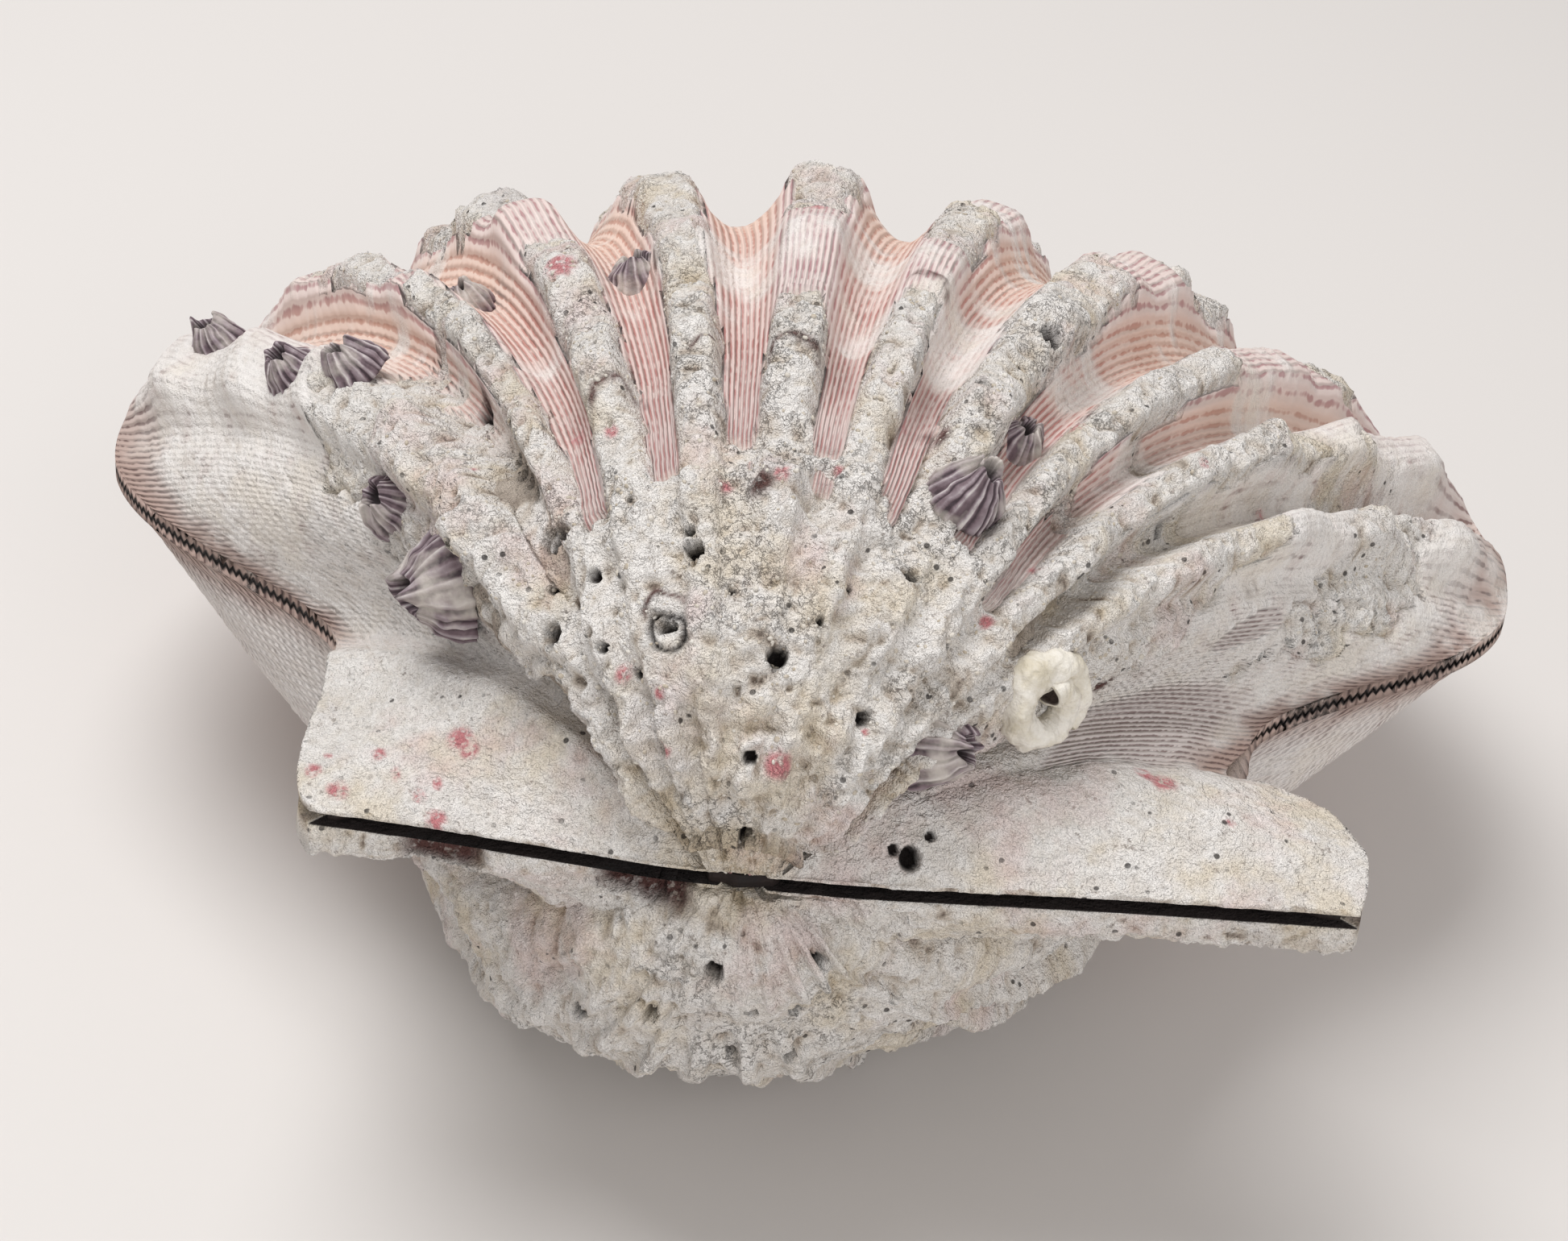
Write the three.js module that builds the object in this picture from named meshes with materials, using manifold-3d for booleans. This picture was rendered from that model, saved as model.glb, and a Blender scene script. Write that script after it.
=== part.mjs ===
// A closed pair of a large lion's paw scallop, overgrown with crust, barnacles and a worm tube.
// It lies on its lower half. Millimetres, +Z up, origin at the middle of the underside of its box.
//
// Each half is one coiled surface: the edge where the halves meet, drawn smaller and turned about
// the hinge line the younger it is. A place on it is given by two numbers:
//   along  the distance along the full-grown edge, from the left end of the hinge,
//   size   how big the shell was when that place grew, 1 at the edge and near 0 at the beak.

import * as THREE from 'three';
import { mergeVertices } from 'three/addons/utils/BufferGeometryUtils.js';
import Module from 'manifold-3d';

const wasm = await Module();
wasm.setup();

// The edge seen from above, as cubic arcs. The beak is at 0, 0 and the hinge runs along x.
const EDGE_ARCS = [
  [[-38, 0], [-42, 3], [-38.5, 14], [-40.5, 27]],
  [[-40.5, 27], [-44, 40], [-66, 46], [-73, 64]],
  [[-73, 64], [-83, 96], [-46, 137], [2, 137]],
  [[2, 137], [50, 137], [86, 94], [77, 60]],
  [[77, 60], [72, 45], [52, 40], [46, 27]],
  [[46, 27], [42, 20], [42, 18], [46, 17.5]],
  [[46, 17.5], [52, 16], [57, 7], [54, 0]],
];
const LEFT_EAR_ARCS = 1;
const RIGHT_EAR_ARCS = 2;

// How the halves grew.
const COIL_ANGLE = 38.6;
const YOUNGEST = 0.012;
const PITCH = 8;

// Ribs, as bearings from the beak in degrees, with the valleys on both sides of each.
const RIB_CENTRES = [-43, -31.5, -21.5, -11, 0.3, 11.2, 22.2, 32.8, 41, 48];
const RIB_VALLEYS = [-47.5, -35, -27.3, -16, -5.7, 6.3, 16.2, 28.6, 37, 45, 51.5];
const RIB_HEIGHT = 2.8;
const RIB_GROWTH = 0.4;
const KNOB_SIZES = [0.335, 0.46, 0.6, 0.74, 0.88];
const KNOB_HEIGHT = 2.2;
const KNOB_LENGTH = 0.04;
const RIBS_UNDER_CRUST = 0.2;

// The edge, its waves and the gaps.
const EDGE_THICKNESS = 0.9;
const EDGE_WAVE = 2.0;
const HALF_GAP = 0.2;
const HINGE_HALF_GAP = 0.65;

// The beak overhangs the hinge, but stays this far from the plane between the halves.
const OVERHANG_SIZE = 0.5;
const OVERHANG_CLEARANCE = 1;

// The hollow inside: a smaller copy of the half, moved inwards, with fainter ribs.
const HOLLOW_SCALE = 0.94;
const HOLLOW_SHIFT = 3;
const HOLLOW_DROP = 2;
const HOLLOW_RIBS = 0.4;
const HOLLOW_YOUNGEST = 0.05;

// The shield of crust over the beak: where it starts and ends along the edge, when the shell was
// young and when it was older, how soft its ledge is, and how thick it is.
const SHIELD = { left: [58, 112], right: [352, 300], ledge: 12, fade: [0.24, 0.38], thickness: 3 };
const SHIELD_AGES = { left: [0.34, 0.08], right: [0.34, 0.1] };

// Crust on the ears, from the hinge inwards, and on the ribs out to where it ends.
const EAR_CRUST = { atHinge: 1.4, above: 2.6, below: 3.6, rise: 7 };
const RIB_CRUST = { above: 0.5, below: 0.4, fade: [0.8, 1] };

// Patches of thicker crust: height, then middle and reach along the edge and in size.
const LEFT_PATCH = { height: 1.6, along: 88, reach: 26, size: 0.36, spread: 0.1 };
const RIGHT_PATCH = { height: 1.2, along: 320, reach: 30, size: 0.45, spread: 0.12 };
const LOWER_LUMP = { height: 3, along: 120, reach: 50, size: 0.24, spread: 0.14 };
const LOWER_BEAK_CRUST = { thickness: 2, fade: [0.28, 0.55] };

// The worn flat that the lower half rests on takes this much off its lowest knobs.
const WORN = 1.3;

// The dried ligament in the hinge gap.
const LIGAMENT = { left: -36.5, right: 52.5, front: 0.5, back: 3.2, thickness: 0.7 };

// Barnacles on the upper half: place along the edge, size of the shell there, foot and mouth
// radius, height, and how far the cone leans away from the beak, in degrees.
const BARNACLES = [
  { along: 64.5, size: 0.44, foot: 5.2, mouth: 1.9, height: 4.2, lean: 20 },
  { along: 80, size: 0.49, foot: 3.2, mouth: 1.2, height: 2.4, lean: 0 },
  { along: 95, size: 0.655, foot: 2.9, mouth: 1.1, height: 2.6, lean: 0 },
  { along: 100.5, size: 0.565, foot: 3.0, mouth: 1.1, height: 2.6, lean: 10 },
  { along: 99, size: 0.83, foot: 3.0, mouth: 1.1, height: 3.2, lean: 0 },
  { along: 127, size: 0.575, foot: 2.6, mouth: 0.9, height: 2.0, lean: 0 },
  { along: 159, size: 0.485, foot: 3.4, mouth: 1.2, height: 2.4, lean: 0 },
  { along: 255, size: 0.275, foot: 3.3, mouth: 1.1, height: 3.4, lean: 15 },
  { along: 318, size: 0.2, foot: 3.6, mouth: 1.2, height: 4.0, lean: 25 },
  { along: 259, size: 0.37, foot: 3.0, mouth: 0.9, height: 2.0, lean: 0 },
];
const BARNACLE_SIDES = 8;
const BARNACLE_ROOT = 1.6;
const CEMENT_GAP = 0.3;

// The worm's tube: one turn of a round tube, lying on the crust by the right ear.
const WORM = { along: 326, size: 0.315, ring: 3.6, tube: 1.8, rise: 0.6, turns: 0.93 };
const WORM_SIDES = 6;
const WORM_STEPS = 14;

// Holes bored by other animals: half above or below, place, radius and depth.
const BORES = [
  { half: 1, along: 113, size: 0.264, radius: 1.1, depth: 5 },
  { half: 1, along: 92, size: 0.229, radius: 1.1, depth: 5 },
  { half: 1, along: 149, size: 0.164, radius: 1.6, depth: 6 },
  { half: 1, along: 204, size: 0.147, radius: 1.1, depth: 5 },
  { half: 1, along: 164.5, size: 0.2, radius: 0.9, depth: 4 },
  { half: 1, along: 252, size: 0.219, radius: 0.9, depth: 4 },
  { half: 1, along: 250, size: 0.454, radius: 1.2, depth: 3 },
  { half: 1, along: 299, size: 0.445, radius: 0.8, depth: 3 },
  { half: 1, along: 115, size: 0.315, radius: 0.9, depth: 3 },
  { half: -1, along: 175, size: 0.073, radius: 0.9, depth: 4 },
];
const BORE_SIDES = 7;

// Short edges that the cuts leave are closed up within this distance.
const WELD = 0.02;

// Rows of the meshes: close at the beak, then one on each ring of knobs and two between.
const BEAK_ROWS = [YOUNGEST, 0.028, HOLLOW_YOUNGEST, 0.085, 0.13, 0.18, 0.235, 0.285];
const ROWS_PER_KNOB = 3;

// Columns of the meshes: shares of a rib's half width, and how many on a flank and an ear.
const OUTER_COLUMNS = { perRib: [-0.42, 0.42], flank: 7, ear: 5 };
const INNER_COLUMNS = { perRib: [0], flank: 3, ear: 2 };

const clamp = (x) => Math.min(1, Math.max(0, x));
const lerp = (a, b, t) => a + (b - a) * t;
const step = (a, b, x) => {
  const t = clamp((x - a) / (b - a));
  return t * t * (3 - 2 * t);
};
const degrees = (turn) => (turn * 180) / Math.PI;
const radians = (angle) => (angle * Math.PI) / 180;
const mound = (x, width) => Math.exp(-((x / width) ** 2));

// Lumps: smooth random values on a cubic grid, from -1 to 1, the same on every run.
function gridValue(i, j, k) {
  const v = Math.sin(i * 127.1 + j * 311.7 + k * 74.7) * 43758.5453;
  return 2 * (v - Math.floor(v)) - 1;
}

function lumps(point, size) {
  const [x, y, z] = point.map((c) => c / size);
  const [i, j, k] = [x, y, z].map(Math.floor);
  const [u, v, w] = [x - i, y - j, z - k].map((t) => step(0, 1, t));
  const along = (b, c) => lerp(gridValue(i, j + b, k + c), gridValue(i + 1, j + b, k + c), u);
  return lerp(lerp(along(0, 0), along(1, 0), v), lerp(along(0, 1), along(1, 1), v), w);
}

// The edge as one path measured by its length.
const edge = new THREE.CurvePath();
for (const arc of EDGE_ARCS) {
  edge.add(new THREE.CubicBezierCurve(...arc.map(([x, y]) => new THREE.Vector2(x, y))));
}
const edgeEnds = edge.getCurveLengths();
const EDGE_LENGTH = edgeEnds.at(-1);
const LEFT_NOTCH = edgeEnds[LEFT_EAR_ARCS - 1];
const RIGHT_NOTCH = edgeEnds[EDGE_ARCS.length - RIGHT_EAR_ARCS - 1];

function edgePoint(along) {
  return edge.getPoint(clamp(along / EDGE_LENGTH));
}

function bearing(along) {
  const p = edgePoint(along);
  return degrees(Math.atan2(p.x, p.y));
}

// The smooth coiled surface, before ribs and crust. half is 1 above and -1 below.
function coil(half, along, size, scale = 1) {
  const p = edgePoint(along);
  const turn = -Math.log(size) * Math.tan(radians(COIL_ANGLE));
  const reach = scale * size * p.y;
  return [scale * size * p.x, reach * Math.cos(turn), half * reach * Math.sin(turn)];
}

function coilNormal(half, along, size) {
  const ds = 0.5;
  const dg = 0.002;
  const a = clamp((along - ds) / EDGE_LENGTH) * EDGE_LENGTH;
  const b = clamp((along + ds) / EDGE_LENGTH) * EDGE_LENGTH;
  const at = (s, g) => new THREE.Vector3(...coil(half, s, g));
  const across = at(b, size).sub(at(a, size));
  const out = at(along, size + dg).sub(at(along, size - dg));
  const normal = new THREE.Vector3().crossVectors(out, across).multiplyScalar(-half);
  return normal.normalize();
}

// Rib height at a bearing: 1 on a rib, -1 in a valley, 0 on the bare flanks.
function ribProfile(angle) {
  const last = RIB_CENTRES.length - 1;
  const k = Math.min(last, Math.max(0, RIB_VALLEYS.findIndex((v) => v > angle) - 1));
  if (angle <= RIB_VALLEYS[0] || angle >= RIB_VALLEYS[last + 1]) return 0;
  const left = angle < RIB_CENTRES[k];
  const halfWidth = left ? RIB_CENTRES[k] - RIB_VALLEYS[k] : RIB_VALLEYS[k + 1] - RIB_CENTRES[k];
  const outermost = (left && k === 0) || (!left && k === last);
  const fall = step(0.35, 0.9, Math.abs(angle - RIB_CENTRES[k]) / halfWidth);
  return 1 - (outermost ? 1 : 2) * fall;
}

// Knobs stand on the ribs where growth paused, higher on every second rib.
function knobs(angle, size) {
  const nearest = RIB_CENTRES.reduce((a, b) => (Math.abs(b - angle) < Math.abs(a - angle) ? b : a));
  const index = RIB_CENTRES.indexOf(nearest);
  const strength = index % 2 === 0 ? 1 : 0.55;
  const rings = KNOB_SIZES.map((g) => mound(size - g, KNOB_LENGTH));
  return KNOB_HEIGHT * strength * Math.max(...rings) * step(0, 0.8, ribProfile(angle));
}

// How much a place belongs to an ear: 1 on the ears, 0 on the body.
function earShare(along) {
  const left = 1 - step(LEFT_NOTCH - 4, LEFT_NOTCH + 8, along);
  const right = step(RIGHT_NOTCH - 8, RIGHT_NOTCH + 4, along);
  return Math.max(left, right);
}

// How much a place is under the shield, which ends in a ledge above the ears.
function shield(along, size) {
  const { left, right, ledge, fade } = SHIELD;
  const leftEnd = lerp(...left, step(...SHIELD_AGES.left, size));
  const rightEnd = lerp(...right, step(...SHIELD_AGES.right, size));
  return step(0, ledge, along - leftEnd) * step(0, ledge, rightEnd - along) * (1 - step(...fade, size));
}

function patch({ height, along: middle, reach, size: age, spread: ages }, along, size) {
  return height * mound(along - middle, reach) * mound(size - age, ages);
}

function ribCrust(profile, lumpy, size) {
  return step(-0.2, 0.7, profile) * lumpy * (1 - step(...RIB_CRUST.fade, size));
}

// Crust height on the upper half.
function upperCrust(point, along, size, profile) {
  const ear = earShare(along);
  const fromHinge = step(0, EAR_CRUST.rise, size * edgePoint(along).y);
  const thickness = SHIELD.thickness + 1.2 * lumps(point, 9) + 0.7 * lumps(point, 4);
  const cover = shield(along, size) * thickness;
  const onRibs = ribCrust(profile, RIB_CRUST.above + 0.7 * lumps(point, 6), size);
  const onEars = ear * lerp(EAR_CRUST.atHinge, EAR_CRUST.above + 0.5 * lumps(point, 6), fromHinge);
  const patches = patch(LEFT_PATCH, along, size) + patch(RIGHT_PATCH, along, size);
  return Math.max(onEars, cover + (1 - ear) * (onRibs + patches));
}

// Crust height on the lower half, thick on the left below the hinge.
function lowerCrust(point, along, size, profile) {
  const ear = earShare(along);
  const thickRim = EAR_CRUST.below + 0.6 * lumps(point, 7);
  const { thickness, fade } = LOWER_BEAK_CRUST;
  const beak = (1 - step(...fade, size)) * (thickness + lumps(point, 7));
  const onRibs = ribCrust(profile, RIB_CRUST.below + 0.6 * lumps(point, 6), size);
  return Math.max(ear * thickRim, (1 - ear) * (beak + patch(LOWER_LUMP, along, size) + onRibs));
}

// The outside of a half: the coil with its ribs and crust, drawn in to the thin edge.
function skin(half, along, size) {
  const point = coil(half, along, size);
  const normal = coilNormal(half, along, size);
  const angle = bearing(along);
  const profile = half * ribProfile(angle);
  const buried = shield(along, size);
  const ribs = RIB_HEIGHT * size ** RIB_GROWTH * profile * lerp(1, RIBS_UNDER_CRUST, buried);
  const crust = half > 0 ? upperCrust : lowerCrust;
  const bumps = half > 0 ? knobs(angle, size) : 0.6 * Math.max(0, profile) * lumps(point, 8);
  const height = (1 - earShare(along)) * (ribs + bumps) + crust(point, along, size, profile);
  const raised = new THREE.Vector3(...point).addScaledVector(normal, height);
  if (size < OVERHANG_SIZE) raised.z = half * Math.max(half * raised.z, OVERHANG_CLEARANCE);
  const rim = rimPoint(half, along, HALF_GAP + EDGE_THICKNESS);
  const reachesRim = step(0.93, 1, size) * (1 - earShare(along));
  return raised.lerp(rim, reachesRim).toArray();
}

// The waved edge, lifted from the plane between the halves.
function rimPoint(half, along, lift) {
  const p = edgePoint(along);
  const angle = bearing(along);
  const wave = EDGE_WAVE * ribProfile(angle) * (1 - step(25, 50, Math.abs(angle)));
  return new THREE.Vector3(p.x, p.y, half * lift + wave);
}

// Half the gap between the halves: wider at the hinge, where the ligament is.
function halfGapAt(y) {
  return lerp(HINGE_HALF_GAP, HALF_GAP, step(3.5, 8, y));
}

// The sharp lower corner of the edge.
function edgeCorner(half, along) {
  return rimPoint(half, along, halfGapAt(edgePoint(along).y)).toArray();
}

// The inside of a half: the hollow, and round it the flat face that meets the other half.
function inside(half, along, size) {
  const normal = coilNormal(half, along, size);
  const profile = half * ribProfile(bearing(along)) * (1 - earShare(along));
  const point = new THREE.Vector3(...coil(half, along, size, HOLLOW_SCALE));
  const ribs = HOLLOW_RIBS * RIB_HEIGHT * size ** RIB_GROWTH * (1 - step(0.75, 0.93, size));
  point.addScaledVector(normal, ribs * profile);
  point.y += HOLLOW_SHIFT;
  const wave = rimPoint(half, along, 0).z * step(0.8, 1, size);
  const face = halfGapAt(point.y) + half * wave;
  point.z = half * Math.max(half * point.z - HOLLOW_DROP, face);
  return point.toArray();
}

// Columns follow the ribs, with one in each valley.
function columnsFor({ perRib, flank, ear }) {
  const bearings = [];
  RIB_CENTRES.forEach((centre, k) => {
    bearings.push(RIB_VALLEYS[k]);
    for (const share of perRib) {
      const valley = share < 0 ? RIB_VALLEYS[k] : RIB_VALLEYS[k + 1];
      bearings.push(lerp(centre, valley, Math.abs(share)));
    }
  });
  bearings.push(RIB_VALLEYS.at(-1));
  const onBody = bearings.map(alongAt);
  return [
    ...spread(0, LEFT_NOTCH, ear),
    ...spread(LEFT_NOTCH, onBody[0], flank),
    ...onBody,
    ...spread(onBody.at(-1), RIGHT_NOTCH, flank).slice(1),
    ...spread(RIGHT_NOTCH, EDGE_LENGTH, ear),
    EDGE_LENGTH,
  ];
}

function spread(from, to, count) {
  return Array.from({ length: count }, (_, i) => lerp(from, to, i / count));
}

// The place along the edge that lies at a bearing, by halving.
function alongAt(angle) {
  let low = LEFT_NOTCH;
  let high = RIGHT_NOTCH;
  while (high - low > 0.01) {
    const middle = (low + high) / 2;
    if (bearing(middle) < angle) low = middle;
    else high = middle;
  }
  return low;
}

// A half shell as one closed skin. For each size there is a ring of points: over the outside from
// the left end of the hinge to the right one, and back along the inside. The rings are joined, and
// closed at the edge and at the beak.
function closedShell(half, outerColumns, innerColumns, sizes) {
  const positions = [];
  const index = [];
  const addPoint = (point) => positions.push(...point) / 3 - 1;
  const ends = [0, EDGE_LENGTH];
  const rings = sizes.map((size) => {
    const outer = outerColumns.map((s) => addPoint(skin(half, s, size)));
    const hollowSize = Math.max(size, HOLLOW_YOUNGEST);
    const inner = innerColumns.map((s) => addPoint(inside(half, s, hollowSize)));
    const hinge = ends.map((s) => addPoint([size * edgePoint(s).x, 0, half * HINGE_HALF_GAP]));
    return { outer, inner, hinge };
  });
  const loop = ({ outer, inner, hinge }) => [...outer, hinge[1], ...inner.toReversed(), hinge[0]];
  for (let r = 0; r + 1 < rings.length; r += 1) {
    const [low, high] = [loop(rings[r]), loop(rings[r + 1])];
    low.forEach((a, i) => {
      const next = (i + 1) % low.length;
      index.push(a, low[next], high[next], a, high[next], high[i]);
    });
  }
  const [beak, edgeRing] = [rings[0], rings.at(-1)];
  const [leftEnd, rightEnd] = edgeRing.hinge;
  const corners = outerColumns.slice(1, -1).map((s) => addPoint(edgeCorner(half, s)));
  const lowerEdge = [leftEnd, ...corners, rightEnd];
  stitch(lowerEdge, outerColumns, edgeRing.outer, outerColumns, index);
  stitch(edgeRing.inner, innerColumns, lowerEdge, outerColumns, index);
  const beakRow = [beak.hinge[0], ...beak.outer, beak.hinge[1]];
  stitch(beakRow, [-1, ...outerColumns, EDGE_LENGTH + 1], beak.inner, innerColumns, index);
  const geometry = new THREE.BufferGeometry();
  geometry.setAttribute('position', new THREE.Float32BufferAttribute(positions, 3));
  geometry.setIndex(index);
  return geometry;
}

// Joins two rows of points, whose places along the edge are given, with one strip of triangles.
function stitch(rowA, placesA, rowB, placesB, index) {
  let [a, b] = [0, 0];
  while (a + 1 < rowA.length || b + 1 < rowB.length) {
    const nextA = a + 1 < rowA.length ? placesA[a + 1] : Infinity;
    const nextB = b + 1 < rowB.length ? placesB[b + 1] : Infinity;
    if (nextA <= nextB) {
      index.push(rowA[a], rowB[b], rowA[a + 1]);
      a += 1;
    } else {
      index.push(rowA[a], rowB[b], rowB[b + 1]);
      b += 1;
    }
  }
}

// Merged corners, flat triangles dropped, and the right way out.
function solid(geometry) {
  const bare = geometry.clone();
  bare.deleteAttribute('normal');
  bare.deleteAttribute('uv');
  const merged = mergeVertices(bare, 1e-3);
  const vertProperties = new Float32Array(merged.attributes.position.array);
  const corners = merged.index.array;
  const kept = [];
  for (let i = 0; i < corners.length; i += 3) {
    const [a, b, c] = [corners[i], corners[i + 1], corners[i + 2]];
    if (a !== b && b !== c && a !== c) kept.push(a, b, c);
  }
  if (signedVolume(vertProperties, kept) < 0) {
    for (let i = 0; i < kept.length; i += 3) [kept[i], kept[i + 1]] = [kept[i + 1], kept[i]];
  }
  const triVerts = new Uint32Array(kept);
  const mesh = new wasm.Mesh({ numProp: 3, vertProperties, triVerts, tolerance: WELD });
  return new wasm.Manifold(mesh);
}

function signedVolume(points, corners) {
  const at = (i) => new THREE.Vector3(points[3 * i], points[3 * i + 1], points[3 * i + 2]);
  let volume = 0;
  for (let i = 0; i < corners.length; i += 3) {
    volume += at(corners[i]).dot(at(corners[i + 1]).cross(at(corners[i + 2])));
  }
  return volume;
}

// The largest single body of a solid, as geometry for a mesh.
function geometryOf(manifold) {
  const bodies = manifold.decompose();
  const largest = bodies.reduce((a, b) => (b.volume() > a.volume() ? b : a));
  const { vertProperties, triVerts } = largest.getMesh();
  const geometry = new THREE.BufferGeometry();
  geometry.setAttribute('position', new THREE.Float32BufferAttribute(vertProperties, 3));
  geometry.setIndex(new THREE.Uint32BufferAttribute(triVerts, 1));
  geometry.computeVertexNormals();
  return geometry;
}

function halfShell(half) {
  const stops = [...KNOB_SIZES, 1];
  const sizes = [...BEAK_ROWS];
  KNOB_SIZES.forEach((knob, i) => sizes.push(...spread(knob, stops[i + 1], ROWS_PER_KNOB)));
  sizes.push(1);
  return solid(closedShell(half, columnsFor(OUTER_COLUMNS), columnsFor(INNER_COLUMNS), sizes));
}

// Stands a shape, made along z from its foot at 0, on the skin of a half.
function onSkin(shape, half, along, size, lean = 0) {
  const normal = coilNormal(half, along, size);
  const away = new THREE.Vector3(...coil(half, along, size + 0.01))
    .sub(new THREE.Vector3(...coil(half, along, size)))
    .normalize();
  const up = normal.clone().applyAxisAngle(away.clone().cross(normal).normalize(), -radians(lean));
  const turn = new THREE.Quaternion().setFromUnitVectors(new THREE.Vector3(0, 0, 1), up);
  const place = new THREE.Vector3(...skin(half, along, size));
  const matrix = new THREE.Matrix4().compose(place, turn, new THREE.Vector3(1, 1, 1));
  return { shape: shape.clone().applyMatrix4(matrix), up };
}

function bore({ half, along, size, radius, depth }) {
  const cylinder = new THREE.CylinderGeometry(radius, 0.8 * radius, 2 * depth, BORE_SIDES);
  cylinder.rotateX(Math.PI / 2);
  return solid(onSkin(cylinder, half, along, size).shape);
}

// A plane at the height of the floor, as the shell lies, with everything below it.
function floorCut(half) {
  const lying = new THREE.Matrix4().makeRotationX(-radians(PITCH));
  const positions = geometryOf(half).applyMatrix4(lying).attributes.position;
  let lowest = Infinity;
  for (let i = 0; i < positions.count; i += 1) lowest = Math.min(lowest, positions.getZ(i));
  const slab = new THREE.BoxGeometry(400, 400, 40);
  slab.translate(0, 0, lowest + WORN - 20);
  return solid(slab.applyMatrix4(lying.invert()));
}

// Cuts a piece to follow the ground under it, a thin film of cement away.
function restedOn(ground, piece, up) {
  const lift = up.clone().multiplyScalar(CEMENT_GAP).toArray();
  return piece.subtract(ground.translate(lift)).subtract(ground);
}

// A barnacle: a ribbed cone with a sunken mouth, rooted in the crust and cut to sit just off it.
function barnacle({ along, size, foot, mouth, height, lean }, ground) {
  const outline = [
    [0, -BARNACLE_ROOT],
    [foot, -BARNACLE_ROOT],
    [foot, 0],
    [0.72 * foot, 0.62 * height],
    [mouth * 1.25, height],
    [mouth * 0.85, 0.55 * height],
    [0, 0.35 * height],
  ];
  const profile = outline.map(([r, z]) => new THREE.Vector2(r, z));
  const cone = new THREE.LatheGeometry(profile, BARNACLE_SIDES).rotateX(Math.PI / 2);
  const positions = cone.attributes.position;
  for (let i = 0; i < positions.count; i += 1) {
    const [x, y] = [positions.getX(i), positions.getY(i)];
    const around = Math.atan2(y, x) / (2 * Math.PI) + 1;
    const plate = Math.floor(around * BARNACLE_SIDES + 0.25);
    const flute = plate % 2 === 0 ? 1.08 : 0.92;
    positions.setXY(i, x * flute, y * flute);
  }
  const { shape, up } = onSkin(cone, 1, along, size, lean);
  return restedOn(ground, solid(shape), up);
}

// The worm's tube curls inwards and climbs a little.
class Curl extends THREE.Curve {
  getPoint(t) {
    const angle = t * WORM.turns * 2 * Math.PI;
    const reach = WORM.ring * (1 - 0.3 * t);
    return new THREE.Vector3(reach * Math.cos(angle), reach * Math.sin(angle), WORM.rise * (1 + t));
  }
}

function wormTube(ground) {
  const round = new THREE.Shape().absarc(0, 0, WORM.tube, 0, 2 * Math.PI);
  const tube = new THREE.ExtrudeGeometry(round, {
    curveSegments: WORM_SIDES,
    steps: WORM_STEPS,
    extrudePath: new Curl(),
  });
  const { shape, up } = onSkin(tube, 1, WORM.along, WORM.size);
  return restedOn(ground, solid(shape), up);
}

function ligament() {
  const { left, right, front, back, thickness } = LIGAMENT;
  const band = new THREE.BoxGeometry(right - left, back - front, thickness, 12, 1, 1);
  band.translate((left + right) / 2, (front + back) / 2, 0);
  return solid(band);
}

const finish = (color, roughness) => new THREE.MeshStandardMaterial({ color, roughness, metalness: 0 });
const CHALKY_SHELL = finish('#dcd2c6', 0.85);
const CREAM_SHELL = finish('#cfc3b6', 0.85);
const DRIED_LIGAMENT = finish('#1f1514', 0.6);
const BARNACLE_PLATES = finish('#8a7480', 0.75);
const WORM_LIME = finish('#dccfae', 0.8);

const shell = new THREE.Group();

function addPiece(name, manifold, material) {
  const mesh = new THREE.Mesh(geometryOf(manifold), material);
  mesh.name = name;
  shell.add(mesh);
}

let upper = halfShell(1);
let lower = halfShell(-1);
for (const hole of BORES) {
  if (hole.half > 0) upper = upper.subtract(bore(hole));
  else lower = lower.subtract(bore(hole));
}
lower = lower.subtract(floorCut(lower));

addPiece('upper_valve', upper, CHALKY_SHELL);
addPiece('lower_valve', lower, CREAM_SHELL);
addPiece('hinge_ligament', ligament(), DRIED_LIGAMENT);
BARNACLES.forEach((place, i) => {
  addPiece(`barnacle_${i + 1}`, barnacle(place, upper), BARNACLE_PLATES);
});
addPiece('worm_tube', wormTube(upper), WORM_LIME);

// The shell lies on its lower half, the front edge a little down.
shell.rotation.x = -radians(PITCH);

const group = new THREE.Group();
group.add(shell);
group.updateMatrixWorld(true);
const box = new THREE.Box3().setFromObject(group, true);
shell.position.set(-(box.min.x + box.max.x) / 2, -(box.min.y + box.max.y) / 2, -box.min.z);

export default group;
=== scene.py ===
# %% [markdown]
# A lion's paw scallop, closed, overgrown and dried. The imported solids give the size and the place
# of every piece; this file gives them their fine surface and their finish. The solids could be
# sculpted over by hand, but a shell grows by a rule, so the rule is written down once more here and
# sampled much more finely than a solid can hold.

# %% Load the frame
import math

import bmesh
import bpy
import numpy as np
from mathutils import Matrix, Vector


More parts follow.
